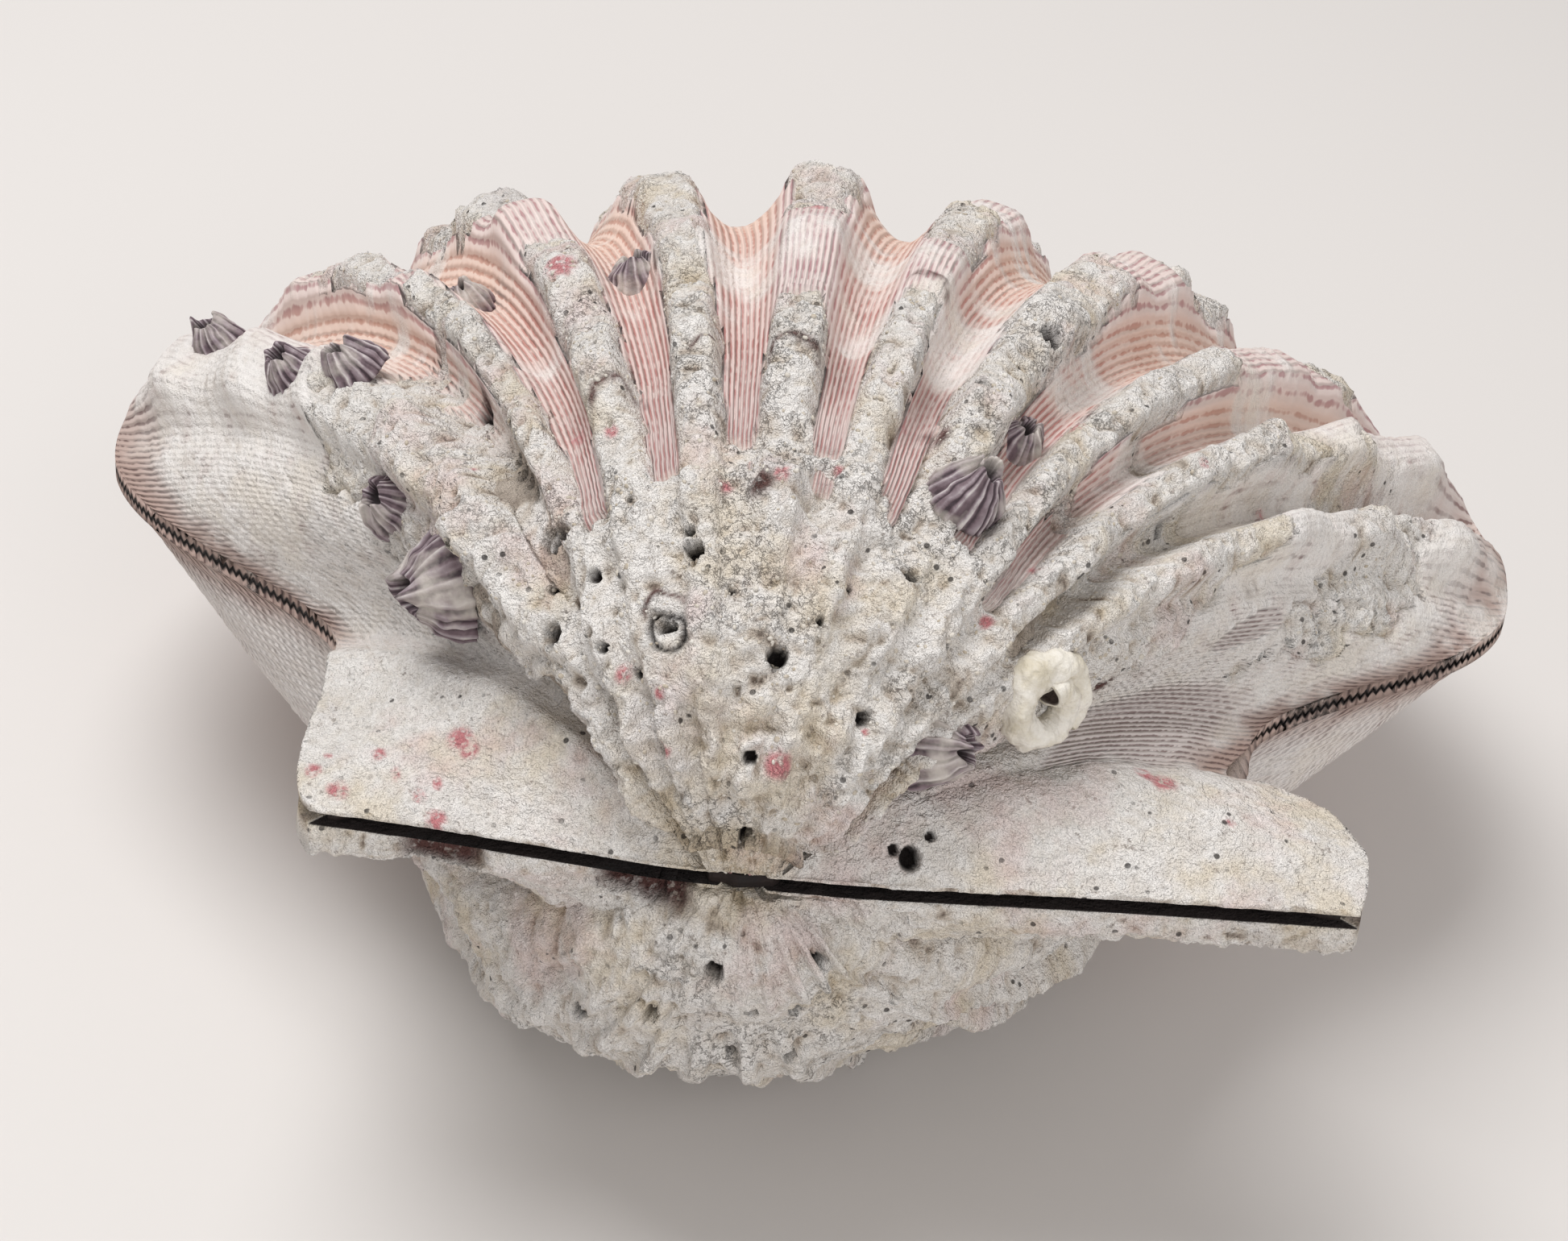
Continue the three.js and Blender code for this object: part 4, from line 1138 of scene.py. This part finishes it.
def dash_share(tree, read, wave):
    """Where the dashes lie, from 0 to 1."""
    noises = []
    for across, length, detail in ((0.9 / RIBLET, DASH_LENGTH, 1), (0.02, DASH_BAND, 2)):
        sideways = add(tree, MATH, {0: read["along"], 1: across}, operation="MULTIPLY")
        onwards = add(tree, MATH, {0: read["grown"], 1: 1 / length}, operation="MULTIPLY")
        stretched = add(tree, "ShaderNodeCombineXYZ", {0: sideways, 1: onwards})
        noises.append(add(tree, NOISE, {"Vector": stretched, "Scale": 1.0, "Detail": detail}))
    lined = add(tree, MATH, {0: wave, 1: 1.3}, operation="MULTIPLY")
    banded = add(tree, MATH, {0: noises[1], 1: 2.4, 2: lined}, operation="MULTIPLY_ADD")
    drawn = add(tree, MATH, {0: noises[0], 1: 3.0, 2: banded}, operation="MULTIPLY_ADD")
    return add(tree, RANGE, {"Value": drawn, "From Min": 3.1, "From Max": 4.1, "To Max": 0.8}, **SMOOTH)


def bare_colour(tree, read, dashes):
    """Colour of the shell where nothing grows on it."""
    grown = add(tree, MATH, {0: read["grown"], 1: SHELL_LENGTH}, operation="DIVIDE")
    on_ribs = add(tree, MATH, {0: read["top"], 1: 0.8}, operation="MULTIPLY")
    ground = set_stops(add(tree, RAMP, {"Fac": grown}), [
        (0.2, "#d6c2be"), (0.42, "#dcc6bf"), (0.62, "#e3c9bb"), (0.97, "#dcc5b9")])
    lines = set_stops(add(tree, RAMP, {"Fac": grown}), [
        (0.2, "#a35f5f"), (0.42, "#ac6862"), (0.62, "#c0907e"), (0.97, "#b88d7d")])
    pair = []
    for middle, on_top, side, rim in (
        (ground, "#dfcfcb", "#d8ceca", "#b59c92"), (lines, "#a0707a", "#644441", "#472c29"),
    ):
        ribbed = add(tree, MIX, {0: on_ribs, 6: middle, 7: linear(on_top)}, **COLOURS)
        flank = add(tree, MIX, {0: read["margin"], 6: linear(side), 7: linear(rim)}, **COLOURS)
        pair.append(add(tree, MIX, {0: read["flank"], 6: ribbed, 7: flank}, **COLOURS))
    return add(tree, MIX, {0: dashes, 6: pair[0], 7: pair[1]}, **COLOURS)


# %% [markdown]
# Crust is chalky white lime, cream and grey in patches, with dark specks and, on the thick crust,
# fine cracks. The tone that was painted from the crust's own relief darkens its hollows and pits and
# lightens its blisters. On the flanks a thin chalky film lets the dashes show through.

# %% Crust and film
def crack_share(tree, place, read):
    """Thin lines where a noise crosses its middle value, in some patches of the thick crust."""
    wander = add(tree, NOISE, {"Vector": place, "Scale": lumps_of(2.2), "Detail": 4, "Roughness": 0.7})
    away = add(tree, MATH, {0: wander, 1: 0.5}, operation="SUBTRACT")
    away = add(tree, MATH, {0: away}, operation="ABSOLUTE")
    line = add(tree, RANGE, {"Value": away, "From Max": 0.018, "To Min": 1.0, "To Max": 0.0}, **SMOOTH)
    patch = clouds(tree, place, 9, 0.48, 0.62)
    middle = add(tree, MATH, {0: 1.0, 1: read["flank"]}, operation="SUBTRACT")
    on_middle = add(tree, MATH, {0: patch, 1: middle}, operation="MULTIPLY")
    return add(tree, MATH, {0: line, 1: on_middle}, operation="MULTIPLY")


CREAM = (10.5, 0.5, 0.66, 0.5, 4, 0.6)
GREY = (16.5, 0.55, 0.7, 0.35, 5, 0.65)
SPECKS = (1.0, 0.58, 0.68, 0.62, 4, 0.8)


def crust_colours(tree, place, read, cracks):
    """Colour of the crust, and the same without its specks and cracks, which the film takes."""
    colour = set_stops(add(tree, RAMP, {"Fac": read["high"]}), [
        (0.0, "#7d6e62"), (0.2, "#c6baad"), (0.42, "#e0d9d1"), (0.8, "#efebe7")])
    for patches, code in ((CREAM, "#decdae"), (GREY, "#c8c1c1")):
        here = clouds(tree, place, *patches)
        colour = add(tree, MIX, {0: here, 6: colour, 7: linear(code)}, **COLOURS)
    specked = {0: clouds(tree, place, *SPECKS), 6: colour, 7: linear("#75645a")}
    specked = add(tree, MIX, specked, **COLOURS)
    faint = add(tree, MATH, {0: cracks, 1: 0.5}, operation="MULTIPLY")
    return add(tree, MIX, {0: faint, 6: specked, 7: linear("#66554a")}, **COLOURS), colour


def overgrown_colour(tree, place, read, bare, crust, plain):
    """Bare shell, then film, then crust, laid over one another."""
    cloudy = clouds(tree, place, 3.8, 0.22, 0.5, 1.0, 4, 0.6)
    film = add(tree, MATH, {0: read["film"], 1: cloudy}, operation="MULTIPLY")
    chalk = add(tree, MIX, {0: 0.45, 6: linear("#e2dedb"), 7: plain}, **COLOURS)
    filmed = add(tree, MIX, {0: film, 6: bare, 7: chalk}, **COLOURS)
    return add(tree, MIX, {0: read["crust"], 6: filmed, 7: crust}, **COLOURS)


# %% [markdown]
# Last come the marks: brown stains, a pink blush and pink spots of coralline algae, then painted
# shade: near black in the pores that boring worms left, in the insides of holes and in the gap where
# the halves meet. Pores are the middles of Voronoi cells, which lie at random but never on top of
# each other.

# %% Marks in the finish
def pore_share(tree, place, read):
    """Small round pores in some patches of the crust."""
    apart = add(tree, "ShaderNodeTexVoronoi", {"Vector": place, "Scale": lumps_of(1.8)})
    round_pore = add(tree, RANGE, {
        "Value": apart, "From Min": 0.1, "From Max": 0.17, "To Min": 1.0, "To Max": 0.0}, **SMOOTH)
    patch = clouds(tree, place, 6.7, 0.45, 0.6)
    in_crust = add(tree, MATH, {0: patch, 1: read["crust"]}, operation="MULTIPLY")
    return add(tree, MATH, {0: round_pore, 1: in_crust}, operation="MULTIPLY")


def marked_colour(tree, place, read, colour, pores):
    """Adds stains, blush, pink spots, and painted shade in pores, holes and the gap, to a colour."""
    grainy = clouds(tree, place, 1.1, 0.35, 0.6, roughness=0.7)
    blush = clouds(tree, place, 13, 0.52, 0.68, 0.4, 4, 0.6)
    blush = add(tree, MATH, {0: blush, 1: read["crust"]}, operation="MULTIPLY")
    broken = []
    for label, low, high in (("stain", -0.8, 0.6), ("pink", -0.4, 0.9)):
        share = add(tree, RANGE, {"Value": grainy, "From Min": low, "From Max": high}, **SMOOTH)
        broken.append(add(tree, MATH, {0: share, 1: read[label]}, operation="MULTIPLY"))
    # Painted shade: pores and the insides of holes are painted near black.
    faint_pores = add(tree, MATH, {0: pores, 1: 0.85}, operation="MULTIPLY")
    holes = add(tree, MATH, {0: faint_pores, 1: read["hole"]}, operation="MAXIMUM")
    # Painted shade: the gap between the halves is painted near black.
    gap = add(tree, RANGE, {"Value": read["gap_shade"], "From Min": 0.6}, **SMOOTH)
    for share, code in (
        (broken[0], "#593833"), (blush, "#d8b5b0"), (broken[1], "#c77f83"),
        (holes, "#1f1512"), (gap, "#1f1412"),
    ):
        colour = add(tree, MIX, {0: share, 6: colour, 7: linear(code)}, **COLOURS)
    return colour


# %% [markdown]
# What is too fine for the mesh goes into a bump: grit, pores and cracks on the crust, and elsewhere
# the cords, which the film fills up. Real grit goes down to dust, but it is no finer than about
# 0.2 mm here, since dust would not show. Then the shell's finish is put together from these steps,
# reading the numbers that were painted on the points. The halves and their crust share it.


# %% Fine relief, and the whole finish of the shell
def relief_height(tree, place, read, wave, cracks, pores):
    """Height in millimetres of what is too fine for the mesh: grit on the crust, cords elsewhere."""
    fine = add(tree, NOISE, {"Vector": place, "Scale": lumps_of(0.43), "Detail": 2, "Roughness": 0.6})
    coarse = add(tree, NOISE, {"Vector": place, "Scale": lumps_of(1.7), "Detail": 4, "Roughness": 0.8})
    coarse = add(tree, MATH, {0: coarse, 1: 1.6}, operation="MULTIPLY")
    grit = add(tree, MATH, {0: fine, 1: 0.35, 2: coarse}, operation="MULTIPLY_ADD")
    cracked = add(tree, MATH, {0: cracks, 1: -0.35, 2: grit}, operation="MULTIPLY_ADD")
    crust = add(tree, MATH, {0: pores, 1: -0.4, 2: cracked}, operation="MULTIPLY_ADD")
    unfilled = add(tree, MATH, {0: read["film"], 1: -0.75, 2: 1.0}, operation="MULTIPLY_ADD")
    cords = add(tree, MATH, {0: wave, 1: -0.11}, operation="MULTIPLY")
    cords = add(tree, MATH, {0: cords, 1: unfilled}, operation="MULTIPLY")
    chalky = add(tree, MATH, {0: grit, 1: 0.5}, operation="MULTIPLY")
    cords = add(tree, MATH, {0: read["film"], 1: chalky, 2: cords}, operation="MULTIPLY_ADD")
    return add(tree, MIX, {0: read["crust"], 2: cords, 3: crust}, data_type="FLOAT")


PAINTED = (
    "along", "grown", "top", "crust", "high", "film", "flank", "margin", "hole", "pink", "stain", "gap_shade",
)


def shell_material():
    material, tree = new_material("weathered_shell_lime")
    place = add(tree, "ShaderNodeTexCoord", output="Object")
    read = {label: add(tree, ATTRIBUTE, attribute_name=label, output="Fac") for label in PAINTED}
    wave = cord_wave(tree, place, read)
    cracks = crack_share(tree, place, read)
    pores = pore_share(tree, place, read)
    bare = bare_colour(tree, read, dash_share(tree, read, wave))
    crust, plain = crust_colours(tree, place, read, cracks)
    overgrown = overgrown_colour(tree, place, read, bare, crust, plain)
    height = relief_height(tree, place, read, wave, cracks, pores)
    give_surface(tree, marked_colour(tree, place, read, overgrown, pores), 0.8, height, 1.0)
    print(material.name, len(tree.nodes), "nodes")
    return material


shell_lime = shell_material()
for piece in (upper_valve, lower_valve, beak_crust, rib_crust):
    piece.data.materials.append(shell_lime)

# %% [markdown]
# Barnacle plates are the same lime, coloured purple and grey in stripes that run up the ridges, with
# chalk on them in patches, and painted shade, near black, in their sunk mouths. The worm's tube is
# plain cream lime, with painted shade in its open end. The ligament is horn, which dries to a dark
# brown. All are matte.

# %% Finishes of the smaller pieces
def barnacle_material():
    material, tree = new_material("barnacle_plate_lime")
    place = add(tree, "ShaderNodeTexCoord", output="Object")
    read = {
        label: add(tree, ATTRIBUTE, attribute_name=label, output="Fac") for label in ("ridge", "mouth")
    }
    fleck = add(tree, NOISE, {"Vector": place, "Scale": lumps_of(1.4), "Detail": 4})
    lifted = add(tree, MATH, {0: fleck, 1: 1.6, 2: read["ridge"]}, operation="MULTIPLY_ADD")
    share = add(tree, RANGE, {"Value": lifted, "From Max": 1.9})
    stripes = set_stops(add(tree, RAMP, {"Fac": share}), [
        (0.1, "#42343b"), (0.4, "#715f66"), (0.7, "#9d9096"), (0.95, "#cdc6c4")])
    chalk = add(tree, NOISE, {"Vector": place, "Scale": lumps_of(4.2), "Detail": 4})
    chalk = add(tree, RANGE, {"Value": chalk, "From Min": 0.5, "From Max": 0.66, "To Max": 0.7})
    colour = stripes
    # Painted shade: the mouth is painted near black.
    for here, code in ((chalk, "#cdc6bd"), (read["mouth"], "#241a1c")):
        colour = add(tree, MIX, {0: here, 6: colour, 7: linear(code)}, **COLOURS)
    give_surface(tree, colour, 0.72, fleck, 0.4)
    return material


def plain_finish(name, pale, dull, grain_size, dark_mouth=False):
    """A matte finish that wanders between two colours, with grains of a size in millimetres."""
    material, tree = new_material(name)
    place = add(tree, "ShaderNodeTexCoord", output="Object")
    cloud = add(tree, NOISE, {"Vector": place, "Scale": lumps_of(4.5), "Detail": 5, "Roughness": 0.65})
    colour = set_stops(add(tree, RAMP, {"Fac": cloud}), [(0.38, dull), (0.6, pale)])
    if dark_mouth:
        # Painted shade: a dark mouth where the tube turns in on itself.
        mouth = add(tree, ATTRIBUTE, attribute_name="mouth", output="Fac")
        colour = add(tree, MIX, {0: mouth, 6: colour, 7: linear("#3a2d28")}, **COLOURS)
    grain = add(tree, NOISE, {"Vector": place, "Scale": lumps_of(2.5 * grain_size), "Detail": 4})
    give_surface(tree, colour, 0.8, grain, 0.5, 0.8)
    return material


barnacle_lime = barnacle_material()
for piece in barnacles:
    piece.data.materials.append(barnacle_lime)
tube.data.materials.append(plain_finish("worm_tube_lime", "#e8e3da", "#cdc4b0", 0.35, dark_mouth=True))
ligament.data.materials.append(plain_finish("dried_horn", "#241714", "#120c0b", 0.6))
grain_lime = plain_finish("crust_grain_lime", "#ddd8d0", "#b9ad9b", 0.3)
print("finishes:", shell_lime.name, barnacle_lime.name, grain_lime.name, "tube and ligament")

# %% [markdown]
# Loose grains of lime sit on the crust. They repeat by the thousand, so Geometry Nodes scatter them:
# points at random over the crust, a small ball of few faces on each, and a random size and turn.
# Placing them by hand would take days, and a loop over them would be slow. Real grains go down to
# dust. These are about 0.2 to 0.6 mm across, since finer ones would not show.

# %% Grains on the crust
def grain_tree():
    tree = bpy.data.node_groups.new("crust_grains", "GeometryNodeTree")
    tree.interface.new_socket("Crust", in_out="INPUT", socket_type="NodeSocketGeometry")
    for label, kind in (
        ("Grains per square metre", "Float"), ("Smallest", "Float"), ("Largest", "Float"), ("Seed", "Int"),
    ):
        tree.interface.new_socket(label, in_out="INPUT", socket_type=f"NodeSocket{kind}")
    tree.interface.new_socket("Grains", in_out="OUTPUT", socket_type="NodeSocketGeometry")
    given = add(tree, "NodeGroupInput").node.outputs
    points = add(tree, "GeometryNodeDistributePointsOnFaces", {
        "Mesh": given["Crust"], "Density": given["Grains per square metre"], "Seed": given["Seed"]})
    ball = add(tree, "GeometryNodeMeshIcoSphere", {"Radius": 1.0, "Subdivisions": 1})
    size = add(tree, "FunctionNodeRandomValue", {2: given["Smallest"], 3: given["Largest"]},
               output=1, data_type="FLOAT")
    squash = add(tree, "FunctionNodeRandomValue", {0: (0.7, 0.7, 0.4), 1: (1.7, 1.4, 0.8)},
                 data_type="FLOAT_VECTOR")
    scale = add(tree, "ShaderNodeVectorMath", {0: squash, "Scale": size}, operation="SCALE")
    grains = add(tree, "GeometryNodeInstanceOnPoints", {
        "Points": points, "Instance": ball, "Rotation": points.node.outputs["Rotation"], "Scale": scale})
    real = add(tree, "GeometryNodeRealizeInstances", {0: grains})
    finished = add(tree, "GeometryNodeSetMaterial", {"Geometry": real, "Material": grain_lime})
    add(tree, "NodeGroupOutput", {"Grains": finished})
    return tree


def scatter_grains(name, crust, tree, settings):
    host = put_in_scene(name + "_host", crust.data)
    modifier = host.modifiers.new("grains", "NODES")
    modifier.node_group = tree
    for item in tree.interface.items_tree:
        if item.in_out == "INPUT" and item.name in settings:
            modifier[item.identifier] = settings[item.name]
    bpy.context.view_layer.update()
    mesh = bpy.data.meshes.new_from_object(host.evaluated_get(bpy.context.evaluated_depsgraph_get()))
    host.modifiers.clear()
    bpy.data.objects.remove(host)
    mesh.name = name
    mesh.shade_smooth()
    piece = put_in_scene(name, mesh)
    print(name, len(mesh.polygons), "faces")
    return piece


grain_nodes = grain_tree()
GRAINS = {"Grains per square metre": 3.5e5, "Smallest": 0.08 * MM, "Largest": 0.24 * MM, "Seed": 7}
beak_grains = scatter_grains("beak_grains", beak_crust, grain_nodes, GRAINS)
GRAINS["Grains per square metre"] = 1.6e5
rib_grains = scatter_grains("rib_grains", rib_crust, grain_nodes, GRAINS)

# %% [markdown]
# Each fine piece takes the place of its solid. Crust and grains grew on the upper half and belong to
# it. Nothing moves, so every piece rides on the one body.

# %% Pieces take the places of the solids
for piece, node, slot in (
    (upper_valve, "upper_valve", "shell"), (beak_crust, "upper_valve", "shell"),
    (rib_crust, "upper_valve", "shell"), (beak_grains, "upper_valve", "shell"),
    (rib_grains, "upper_valve", "shell"), (lower_valve, "lower_valve", "shell"),
    (ligament, "hinge_ligament", "ligament"), (tube, "worm_tube", "worm_tube"),
    *((piece, f"barnacle_{i + 1}", "barnacle") for i, piece in enumerate(barnacles)),
):
    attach(piece, "root")
    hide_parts(node)

# %% [markdown]
# A studio for a pale, rough object: a plain pale floor, one broad soft light above and behind, which
# rakes over the relief, and a weak fill from the camera's side, so that the shadows stay open. Each
# lamp has a place and a width in metres, and a power in watts, and looks at the shell.

# %% Floor and light
FLOOR_SIZE = 4.0
LAMPS = [("overhead", (-0.22, 0.12, 0.8), 0.5, 5.4), ("fill", (0.35, -0.8, 0.5), 0.8, 3.6)]
SKY_STRENGTH = 0.45


def make_floor():
    reach = FLOOR_SIZE / 2
    corners = np.array([(-reach, -reach, 0), (reach, -reach, 0), (reach, reach, 0), (-reach, reach, 0)])
    floor = make_mesh("floor", corners, [(0, 1, 2, 3)], smooth=False)
    material, tree = new_material("pale_painted_floor")
    surface = add(tree, "ShaderNodeBsdfPrincipled", {"Base Color": linear("#d9d5d2"), "Roughness": 0.7})
    add(tree, "ShaderNodeOutputMaterial", {"Surface": surface})
    floor.data.materials.append(material)
    return floor


def area_light(name, place, size, power):
    light = bpy.data.lights.new(name, "AREA")
    light.size = size
    light.energy = power
    lamp = put_in_scene(name, light)
    lamp.location = place
    lamp.rotation_euler = (Vector((0, 0, 0.03)) - Vector(place)).to_track_quat("-Z", "Y").to_euler()


make_floor()
for lamp in LAMPS:
    area_light(*lamp)
world = bpy.data.worlds.new("studio")
world.use_nodes = True
world.node_tree.nodes["Background"].inputs["Color"].default_value = linear("#f4f1ef")
world.node_tree.nodes["Background"].inputs["Strength"].default_value = SKY_STRENGTH
bpy.context.scene.world = world
bpy.context.scene.view_settings.view_transform = "Standard"
print(len(LAMPS), "lamps, with", sum(lamp[-1] for lamp in LAMPS), "watts in all")
